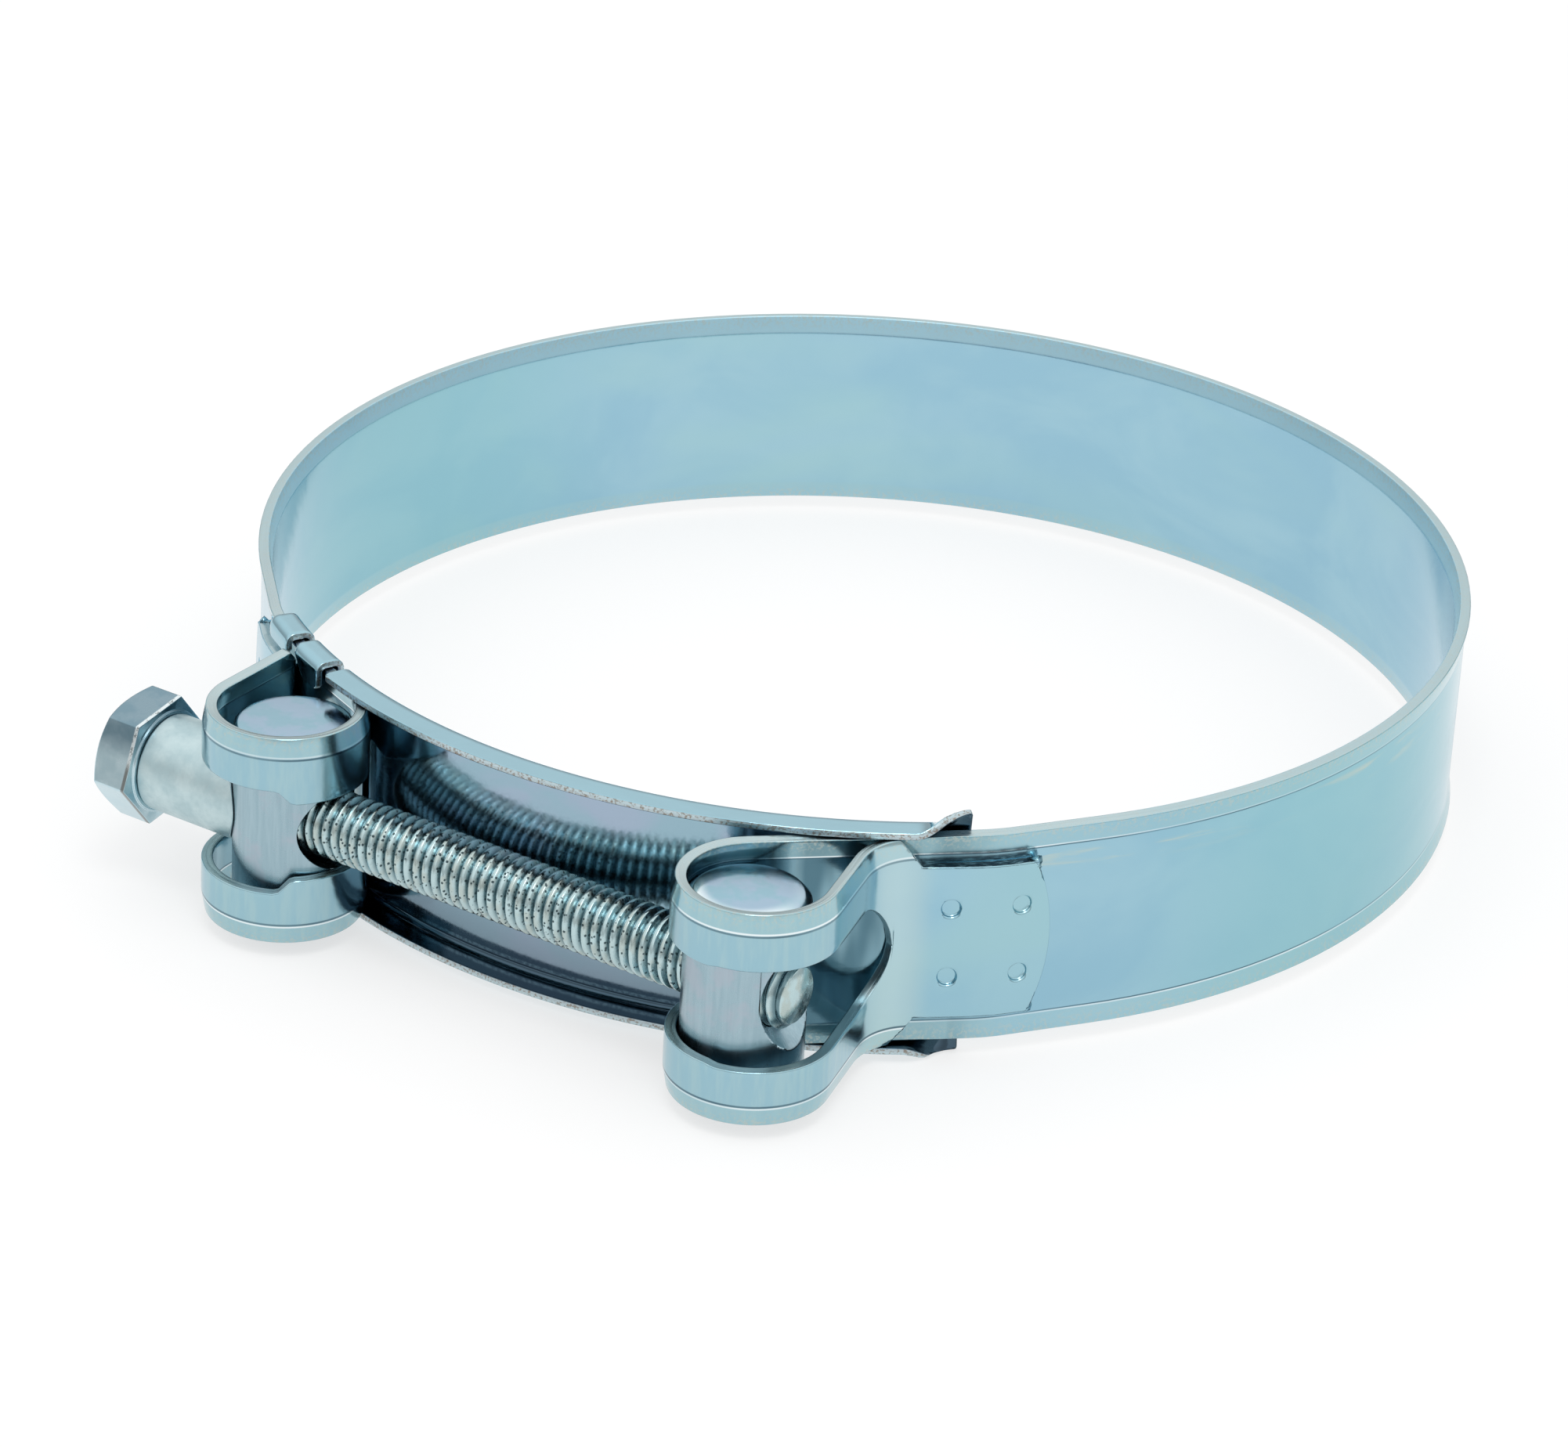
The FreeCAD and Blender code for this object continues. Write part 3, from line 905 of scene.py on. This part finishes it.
def bolt_head():
    """Hexagonal head with a cone-shaped chamfer, and the flat washer face under it."""
    segments = 72
    base_x = under_head_x - washer_face_height
    solid = bmesh.new()

    def hexagon(turn):
        part = (turn - head_turn) % (math.pi / 3) - math.pi / 6
        return head_half_flats / math.cos(part)

    def chamfer_x(turn):
        return bolt_low.x + (hexagon(turn) - head_crown_radius) * math.tan(head_chamfer)

    def ring(along_of, radius_of):
        turns = [head_turn + 2 * math.pi * step / segments for step in range(segments)]
        return [turned_point(solid, on_bolt_line, along_of(turn), radius_of(turn), turn) for turn in turns]

    rows = [ring(lambda turn: bolt_low.x, lambda turn: head_crown_radius),
            ring(chamfer_x, hexagon),
            ring(lambda turn: base_x, hexagon),
            ring(lambda turn: base_x, lambda turn: washer_face_radius),
            ring(lambda turn: under_head_x, lambda turn: washer_face_radius)]
    join_rows(solid, rows)
    piece = new_piece("bolt_head", capped(solid, rows))
    round_edges(piece, width=0.14, limit="ANGLE", angle=20.0)
    return piece


# Materials
class Nodes:
    """Short calls that add nodes to a tree."""

    def __init__(self, tree):
        self.tree = tree

    def link(self, source, target):
        self.tree.links.new(source, target)

    def node(self, kind, **settings):
        node = self.tree.nodes.new(kind)
        for name, value in settings.items():
            setattr(node, name, value)
        return node

    def place(self, stretch=(1, 1, 1)):
        """Coordinates in millimetres of the object's own frame, stretched per axis."""
        coordinates = self.node("ShaderNodeTexCoord")
        mapping = self.node("ShaderNodeMapping")
        mapping.inputs["Scale"].default_value = [factor / METRES for factor in stretch]
        self.link(coordinates.outputs["Object"], mapping.inputs[0])
        return mapping.outputs[0]

    def strip_place(self, stretch=(1, 1, 1)):
        """Coordinates along and across the sheet, in millimetres, stretched per axis."""
        attribute = self.node("ShaderNodeAttribute", attribute_name="strip")
        mapping = self.node("ShaderNodeMapping")
        mapping.inputs["Scale"].default_value = stretch
        self.link(attribute.outputs["Vector"], mapping.inputs[0])
        return mapping.outputs[0]

    def parts(self, vector):
        node = self.node("ShaderNodeSeparateXYZ")
        self.link(vector, node.inputs[0])
        return node.outputs

    def noise(self, place, scale, detail, roughness, distortion=0.0):
        node = self.node("ShaderNodeTexNoise")
        node.inputs["Scale"].default_value = scale
        node.inputs["Detail"].default_value = detail
        node.inputs["Roughness"].default_value = roughness
        node.inputs["Distortion"].default_value = distortion
        self.link(place, node.inputs["Vector"])
        return node.outputs["Fac"]

    def grain(self, scale, detail, roughness):
        return self.noise(self.place(), scale, detail, roughness)

    def strip_noise(self, stretch, detail, roughness, distortion=0.0):
        return self.noise(self.strip_place(stretch), 1.0, detail, roughness, distortion)

    def dots(self, scale):
        node = self.node("ShaderNodeTexVoronoi")
        node.inputs["Scale"].default_value = scale
        self.link(self.place(), node.inputs["Vector"])
        return node.outputs["Distance"]

    def ramp(self, value, low, high, out_low=0.0, out_high=1.0):
        node = self.node("ShaderNodeMapRange", interpolation_type="SMOOTHSTEP")
        node.inputs["From Min"].default_value = low
        node.inputs["From Max"].default_value = high
        node.inputs["To Min"].default_value = out_low
        node.inputs["To Max"].default_value = out_high
        self.link(value, node.inputs["Value"])
        return node.outputs[0]

    def between(self, value, rise, fall):
        """1 in a zone that starts over one range of the value and ends over another, 0 outside."""
        return self.math("SUBTRACT", self.ramp(value, *rise), self.ramp(value, *fall))

    def math(self, operation, a, b=None):
        node = self.node("ShaderNodeMath", operation=operation)
        for socket, value in zip(node.inputs, (a, b)):
            if isinstance(value, (int, float)):
                socket.default_value = value
            elif value is not None:
                self.link(value, socket)
        return node.outputs[0]

    def size(self, value):
        return self.math("ABSOLUTE", value)

    def times(self, first, *others):
        for other in others:
            first = self.math("MULTIPLY", first, other)
        return first

    def mix(self, factor, a, b):
        node = self.node("ShaderNodeMix", data_type="RGBA")
        self.link(factor, node.inputs["Factor"])
        for name, value in (("A", a), ("B", b)):
            socket = [part for part in node.inputs if part.name == name and part.type == "RGBA"][0]
            if isinstance(value, tuple):
                socket.default_value = (*value, 1.0)
            else:
                self.link(value, socket)
        return [part for part in node.outputs if part.type == "RGBA"][0]

    def bump(self, height, strength, distance, normal=None):
        node = self.node("ShaderNodeBump")
        node.inputs["Strength"].default_value = strength
        node.inputs["Distance"].default_value = distance * METRES
        self.link(height, node.inputs["Height"])
        if normal:
            self.link(normal, node.inputs["Normal"])
        return node.outputs[0]

    def cut_edges(self):
        """1 on the faces across a sheet's thickness, 0 on its two sides."""
        side = self.parts(self.strip_place())["Z"]
        return self.ramp(self.size(side), 0.75, 0.98, 1.0, 0.0)


class Finish(Nodes):
    """One material and the shader that its nodes lead to."""

    def __init__(self, name, metallic=1.0):
        self.material = bpy.data.materials.new(name)
        self.material.use_nodes = True
        super().__init__(self.material.node_tree)
        self.tree.nodes.clear()
        self.output = self.node("ShaderNodeOutputMaterial")
        self.shader = self.node("ShaderNodeBsdfPrincipled")
        self.shader.inputs["Metallic"].default_value = metallic
        self.link(self.shader.outputs[0], self.output.inputs[0])

    def finish(self, colour, roughness, normal):
        self.link(colour, self.shader.inputs["Base Color"])
        self.link(roughness, self.shader.inputs["Roughness"])
        self.link(normal, self.shader.inputs["Normal"])
        return self.material


def band_finish():
    """Blue-white zinc on rolled strip: clouds, fine rolling lines, painted dark lines and highlights along
    the creases, painted shade inside the loops, bare cut edges.
    """
    make = Finish("blue_white_zinc_strip")
    strip = make.parts(make.strip_place())
    along = make.size(strip["X"])
    edge = make.size(strip["Y"])
    clouds = make.strip_noise((0.045, 0.07, 1.0), 4.0, 0.55, 0.6)
    tint = make.strip_noise((0.018, 0.04, 2.0), 2.0, 0.5, 1.0)
    grain = make.grain(2.6, 5.0, 0.6)
    back = make.ramp(strip["Z"], -0.9, -0.5, 1.0, 0.0)
    cut = make.cut_edges()
    colour = make.mix(make.ramp(clouds, 0.35, 0.65), (0.310, 0.530, 0.650), (0.360, 0.580, 0.680))
    colour = make.mix(make.ramp(tint, 0.50, 0.72, 0.0, 0.7), colour, (0.380, 0.610, 0.640))
    colour = folded_colour_and_shade(make, colour, strip, along, back)
    outer = make.math("MAXIMUM", back, make.ramp(along, right_tab - 3, right_tab))
    colour = make.mix(make.times(outer, 0.16), colour, (0.200, 0.380, 0.480))
    # Painted reflection: the hoop's far sides, seen at a grazing angle, get a greener tint
    sideways = make.size(make.parts(make.place())["X"])
    colour = make.mix(make.ramp(sideways, 58, band_high.x, 0.0, 0.45), colour, (0.250, 0.540, 0.560))
    # Painted sheen: the leaning rims are a little lighter than the strip
    rim = make.ramp(edge, crease_height, crease_height + 0.3)
    colour = make.mix(make.times(rim, 0.3), colour, (0.380, 0.580, 0.600))
    colour = painted_crease_lines(make, colour, along, edge, back, clouds, tint)

    # Painted highlight: a paler upper rim on the hose side; stains under it on the outside, scuffs on the
    # rims
    hose_rim_highlight = make.times(make.math("SUBTRACT", rim, make.times(rim, back)),
                          make.ramp(along, hoop_reach - 8, hoop_reach, 1.0, 0.0),
                          make.ramp(strip["Y"], -1, 1))
    colour = make.mix(hose_rim_highlight, colour, (0.450, 0.680, 0.770))
    stain = make.strip_noise((0.07, 0.8, 1.0), 5.0, 0.6, 0.5)
    streak = make.between(strip["Y"], (6.6, 8.0), (9.0, 9.7))
    streak = make.times(streak, back, make.ramp(stain, 0.50, 0.68, 0.0, 0.6))
    colour = make.mix(streak, colour, (0.520, 0.590, 0.520))
    scuff = make.times(make.ramp(edge, crease_height, half_width), make.ramp(grain, 0.47, 0.62))
    colour = make.mix(make.times(scuff, 0.45), colour, (0.55, 0.55, 0.47))

    # Cut edges; along the sheared sides of the right tab a painted dark reflection broken by painted glints
    colour = make.mix(make.times(cut, 0.8), colour, (0.50, 0.60, 0.61))
    sheared_side = make.times(make.ramp(strip["X"], right_tab - 1, right_tab),
                              make.ramp(edge, tab_height - 0.8, tab_height - 0.4))
    glints = make.strip_noise((0.8, 9.0, 3.0), 4.0, 0.7)
    sheared_edge_reflection = make.mix(make.ramp(glints, 0.50, 0.62), (0.020, 0.045, 0.065), (0.300, 0.420, 0.460))
    colour = make.mix(make.times(sheared_side, cut), colour, sheared_edge_reflection)

    roughness = make.math("ADD", make.ramp(clouds, 0.3, 0.7, 0.12, 0.20), make.times(cut, 0.12))
    roughness = make.math("ADD", roughness, make.times(hose_rim_highlight, 0.35))
    rolling = make.strip_noise((0.05, 5.0, 1.0), 3.0, 0.6)
    normal = make.bump(clouds, 0.25, 0.5)
    normal = make.bump(rolling, 0.12, 0.02, normal)
    normal = make.bump(grain, 0.12, 0.02, normal)
    return make.finish(colour, roughness, normal)


def folded_colour_and_shade(make, colour, strip, along, back):
    """Worn across the loops, painted shade inside them and paler on the right one's neck."""
    cross = make.strip_noise((0.9, 0.10, 1.0), 3.0, 0.6)
    folded = make.times(make.ramp(along, hoop_reach + 8, hoop_reach + 20),
                        make.ramp(along, left_tab - 8, right_tab, 1.0, 0.0))
    worn = make.mix(make.ramp(cross, 0.40, 0.64), (0.310, 0.500, 0.575), (0.360, 0.535, 0.580))
    colour = make.mix(make.times(folded, 0.8), colour, worn)
    # Painted shade inside the loops, weaker in the left one
    shade = make.strip_noise((0.20, 0.05, 1.0), 2.0, 0.5)
    dark = make.times(make.ramp(shade, 0.42, 0.60, 0.95, 0.4), folded, back,
                      make.ramp(strip["X"], -10, 10, 0.3, 1.0))
    colour = make.mix(dark, colour, (0.060, 0.135, 0.175))
    neck = make.between(strip["X"], (right_tab - 9, right_tab - 4), (right_tab - 1, right_tab + 2))
    return make.mix(make.times(neck, 0.45), colour, (0.560, 0.690, 0.670))


def painted_crease_lines(make, colour, along, edge, back, clouds, tint):
    """Painted reflections along each crease, on the outside of the band: a dark line and a bright highlight.
    """
    seen = make.math("MAXIMUM", back, make.ramp(along, hoop_reach, hoop_reach + 8))
    seen = make.times(seen, make.ramp(along, hoop_reach - 70, hoop_reach - 10, 0.35, 1.0))
    line = make.between(edge, (crease_height - 0.22, crease_height - 0.08),
                        (crease_height - 0.02, crease_height + 0.10))
    line = make.times(line, seen, make.ramp(clouds, 0.30, 0.60, 0.4, 0.9))
    colour = make.mix(line, colour, (0.060, 0.120, 0.160))
    glint = make.between(edge, (crease_height + 0.02, crease_height + 0.10),
                         (crease_height + 0.18, crease_height + 0.30))
    glint = make.times(glint, seen, make.ramp(tint, 0.35, 0.60, 0.3, 0.95))
    return make.mix(glint, colour, (0.820, 0.900, 0.920))


def bridge_finish():
    """Glossy zinc on thin sheet, with a violet cast, painted shade inside the bent edges and on the web's
    lower part, and a painted highlight along the folds.
    """
    make = Finish("glossy_zinc_sheet")
    strip = make.parts(make.strip_place())
    edge = make.size(strip["Y"])
    clouds = make.strip_noise((0.06, 0.08, 1.0), 3.0, 0.5, 0.8)
    grain = make.grain(3.0, 4.0, 0.6)
    cut = make.cut_edges()
    bent = make.ramp(edge, web_height - 0.1, web_height + 0.2)
    inside = make.ramp(strip["Z"], -0.3, 0.3)
    outside = make.math("SUBTRACT", 1.0, inside)
    colour = make.mix(make.ramp(clouds, 0.40, 0.60), (0.290, 0.440, 0.520), (0.340, 0.430, 0.540))
    # Painted shade: darker towards the web's lower edge
    lower_web_shade = make.ramp(strip["Y"], -web_height, -1.0, 0.75, 0.0)
    colour = make.mix(lower_web_shade, colour, (0.170, 0.235, 0.290))
    colour = make.mix(make.times(bent, outside), colour, (0.330, 0.530, 0.610))
    # Painted shade inside the bent edges, with the plating's violet cast towards the left end
    violet = make.ramp(strip["X"], -32, -16, 0.9, 0.0)
    violet_channel_shade = make.mix(violet, (0.050, 0.090, 0.125), (0.120, 0.135, 0.270))
    colour = make.mix(make.times(bent, inside, 0.9), colour, violet_channel_shade)
    # Painted highlight along the fold of each bent edge
    fold_highlight = make.between(edge, (web_height - 0.50, web_height - 0.35), (web_height - 0.15, web_height + 0.05))
    fold_highlight = make.times(fold_highlight, inside, make.ramp(grain, 0.42, 0.55, 0.25, 0.9))
    colour = make.mix(fold_highlight, colour, (0.600, 0.740, 0.780))
    stained = make.mix(make.ramp(grain, 0.50, 0.60), (0.56, 0.66, 0.69), (0.34, 0.29, 0.24))
    colour = make.mix(make.times(cut, 0.8), colour, stained)
    roughness = make.math("ADD", make.ramp(grain, 0.3, 0.7, 0.08, 0.15), make.times(cut, 0.2))
    normal = make.bump(clouds, 0.3, 0.4)
    normal = make.bump(grain, 0.10, 0.02, normal)
    return make.finish(colour, roughness, normal)


def trunnion_finish():
    """Drawn zinc bar: faint streaks along the barrel, mottled ends, a painted highlight on the shoulder in
    front.
    """
    make = Finish("drawn_zinc_bar")
    place = make.parts(make.place())
    streaks = make.noise(make.place((1.6, 1.6, 0.10)), 1.0, 4.0, 0.6)
    clouds = make.grain(0.3, 4.0, 0.55)
    height = make.size(place["Z"])
    end = make.ramp(height, trunnion_half_length - 1.2, trunnion_half_length - 1.0)
    side = make.mix(make.ramp(streaks, 0.35, 0.65), (0.310, 0.440, 0.500), (0.360, 0.490, 0.550))
    side = make.mix(make.ramp(clouds, 0.50, 0.66, 0.0, 0.6), side, (0.420, 0.470, 0.540))
    face = make.mix(make.ramp(clouds, 0.40, 0.60), (0.295, 0.480, 0.570), (0.360, 0.490, 0.610))
    colour = make.mix(end, side, face)
    # Painted highlight on the front of the chamfered shoulder
    shoulder = make.between(height, (trunnion_half_length - 1.35, trunnion_half_length - 1.25),
                            (trunnion_half_length - 0.42, trunnion_half_length - 0.22))
    front = make.ramp(place["Y"], bolt_line_y - 3.5, bolt_line_y + 1, 1.0, 0.15)
    colour = make.mix(make.times(shoulder, front), colour, (0.820, 0.930, 0.950))
    roughness = make.math("ADD", make.ramp(clouds, 0.3, 0.7, 0.22, 0.32), make.times(end, -0.12))
    grooves = make.times(streaks, make.math("SUBTRACT", 1.0, end))
    normal = make.bump(grooves, 0.15, 0.04)
    normal = make.bump(clouds, 0.2, 0.10, normal)
    return make.finish(colour, roughness, normal)


def thread_finish():
    """Rolled thread: plated crests and end, painted shade in the grooves, and small pits."""
    make = Finish("plated_thread")
    place = make.parts(make.place())
    off = make.math("SUBTRACT", place["Y"], bolt_line_y)
    squares = make.math("ADD", make.times(off, off), make.times(place["Z"], place["Z"]))
    # Painted shade in the thread's grooves, set by distance from the bolt's axis
    crest = make.ramp(make.math("SQRT", squares), bolt_radius - thread_depth * 0.9, bolt_radius - 0.05)
    crest = make.math("MAXIMUM", crest, make.ramp(place["X"], bolt_high.x - 0.15, bolt_high.x - 0.05))
    grain = make.grain(2.0, 5.0, 0.65)
    specks = make.grain(0.5, 2.0, 0.5)
    pits = make.times(make.ramp(make.dots(1.8), 0.24, 0.32, 1.0, 0.0), make.ramp(specks, 0.36, 0.46),
                      make.ramp(place["X"], bolt_high.x - 3, bolt_high.x - 2, 1.0, 0.0))
    plated = make.mix(make.ramp(specks, 0.45, 0.62), (0.490, 0.640, 0.660), (0.470, 0.560, 0.540))
    colour = make.mix(crest, (0.150, 0.245, 0.275), plated)
    colour = make.mix(make.times(pits, 0.95), colour, (0.040, 0.070, 0.080))
    roughness = make.ramp(grain, 0.3, 0.7, 0.16, 0.30)
    return make.finish(colour, roughness, make.bump(grain, 0.25, 0.05))


def head_finish():
    """Plated hexagon head: painted shade on the upper flats, and a broken painted highlight on the edge under
    them, dark brown lower down.
    """
    make = Finish("plated_head")
    place = make.parts(make.place())
    grain = make.grain(2.0, 5.0, 0.65)
    clouds = make.grain(0.3, 4.0, 0.6)
    patches = make.ramp(clouds, 0.40, 0.60)
    lit = make.mix(patches, (0.500, 0.670, 0.730), (0.560, 0.710, 0.760))
    dim = make.mix(patches, (0.190, 0.300, 0.360), (0.240, 0.345, 0.400))
    # Lit and shaded copies of the plating: painted shade on the upper flats
    colour = make.mix(make.ramp(place["Z"], 1.5, 4.5), lit, dim)
    # Painted highlight broken along the edge under the flats, turning dark brown lower down
    edge = make.times(make.ramp(place["X"], under_head_x - 0.85, under_head_x - 0.65),
                      make.ramp(place["X"], under_head_x - 0.36, under_head_x - 0.32, 1.0, 0.0))
    glint = make.mix(make.ramp(grain, 0.38, 0.46), (0.300, 0.320, 0.310), (0.900, 0.970, 0.980))
    broken = make.mix(make.ramp(place["Z"], 1.0, 2.5), (0.170, 0.160, 0.140), glint)
    colour = make.mix(make.times(edge, 0.8), colour, broken)
    roughness = make.ramp(clouds, 0.3, 0.7, 0.18, 0.28)
    return make.finish(colour, roughness, make.bump(grain, 0.12, 0.03))


def spacer_finish():
    """Pale matte zinc with soft blotches."""
    make = Finish("matte_zinc_tube")
    grain = make.grain(1.6, 6.0, 0.65)
    blotches = make.grain(0.3, 4.0, 0.6)
    colour = make.mix(make.ramp(blotches, 0.35, 0.65), (0.460, 0.600, 0.630), (0.560, 0.690, 0.710))
    roughness = make.ramp(grain, 0.3, 0.7, 0.36, 0.55)
    return make.finish(colour, roughness, make.bump(grain, 0.3, 0.05))


def floor_finish():
    """White floor that keeps the object's soft shadow."""
    make = Finish("white_floor", 0.0)
    make.shader.inputs["Base Color"].default_value = (0.93, 0.93, 0.93, 1)
    make.shader.inputs["Roughness"].default_value = 0.8
    make.shader.inputs["Specular IOR Level"].default_value = 0.0
    white = make.node("ShaderNodeEmission")
    blend = make.node("ShaderNodeMixShader")
    path = make.node("ShaderNodeLightPath")
    background = path.outputs["Is Camera Ray"]
    for name in ("Is Glossy Ray", "Is Transmission Ray"):
        background = make.math("MAXIMUM", background, path.outputs[name])
    make.link(make.times(background, 0.65), blend.inputs[0])
    make.link(make.shader.outputs[0], blend.inputs[1])
    make.link(white.outputs[0], blend.inputs[2])
    make.link(blend.outputs[0], make.output.inputs[0])
    return make.material


# Pieces
def place_piece(piece, node, body, finish):
    piece.data.materials.clear()
    piece.data.materials.append(finish)
    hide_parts(node)
    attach(piece, body)


def build_pieces():
    turned = trunnion_finish()
    band = band_sheet().thicken("band_strip", band_thickness, band_edge_rounding, weld_press)
    place_piece(band, "band", "clamp", band_finish())
    bridge = bridge_sheet().thicken("bridge_channel", bridge_thickness, bridge_edge_rounding)
    place_piece(bridge, "bridge", "clamp", bridge_finish())
    place_piece(plain_trunnion(), "plain_trunnion", "clamp", turned)
    place_piece(threaded_trunnion(), "threaded_trunnion", "clamp", turned)
    place_piece(bolt_thread(), "bolt", "bolt", thread_finish())
    place_piece(bolt_head(), "bolt", "bolt", head_finish())
    place_piece(spacer(), "spacer", "spacer", spacer_finish())


def add_floor():
    reach = 3.0
    corners = [(-reach, -reach), (reach, -reach), (reach, reach), (-reach, reach)]
    mesh = bpy.data.meshes.new("floor")
    mesh.from_pydata([(x, y, floor_level) for x, y in corners], [], [(0, 1, 2, 3)])
    floor = add_object("floor", mesh)
    mesh.materials.append(floor_finish())


def add_lamp():
    """One soft square lamp, high in front, for the glints."""
    place = Vector((0.22, -0.34, 0.80))
    data = bpy.data.lights.new("key", "AREA")
    data.shape = "RECTANGLE"
    data.size = 0.30
    data.size_y = 0.30
    data.energy = 1.6
    lamp = add_object("key", data)
    lamp.location = place
    lamp.rotation_euler = (-place).to_track_quat("-Z", "Y").to_euler()


def add_surrounding():
    """A studio that is white above and pale grey towards the horizon."""
    world = bpy.data.worlds.new("studio")
    bpy.context.scene.world = world
    world.use_nodes = True
    make = Nodes(world.node_tree)
    background = world.node_tree.nodes["Background"]
    background.inputs["Color"].default_value = (1, 1, 1, 1)
    height = make.parts(make.node("ShaderNodeTexCoord").outputs["Generated"])["Z"]
    make.link(make.ramp(height, 0.10, 0.60, 0.55, 1.1), background.inputs["Strength"])


def add_camera():
    azimuth = math.radians(32.6939)
    elevation = math.radians(26.7085)
    roll = math.radians(3.1021)
    distance = 704.218
    focal_pixels = 7613.92
    image_width = 2002
    target = Vector((-5.6075, -6.8286, -9.5019))
    level = math.cos(elevation)
    back = Vector((math.sin(azimuth) * level, -math.cos(azimuth) * level, math.sin(elevation)))
    right = Vector((math.cos(azimuth), math.sin(azimuth), 0))
    upward = back.cross(right)
    rolled_right = right * math.cos(roll) + upward * math.sin(roll)
    rolled_up = upward * math.cos(roll) - right * math.sin(roll)
    data = bpy.data.cameras.new("camera")
    data.sensor_fit = "HORIZONTAL"
    data.sensor_width = 36.0
    data.lens = focal_pixels / image_width * data.sensor_width
    camera = add_object("camera", data)
    camera.location = (target + back * distance) * METRES
    camera.rotation_mode = "QUATERNION"
    camera.rotation_quaternion = Matrix((rolled_right, rolled_up, back)).transposed().to_quaternion()
    bpy.context.scene.camera = camera


build_pieces()
add_floor()
add_surrounding()
add_lamp()
add_camera()
bpy.context.scene.view_settings.view_transform = "Standard"
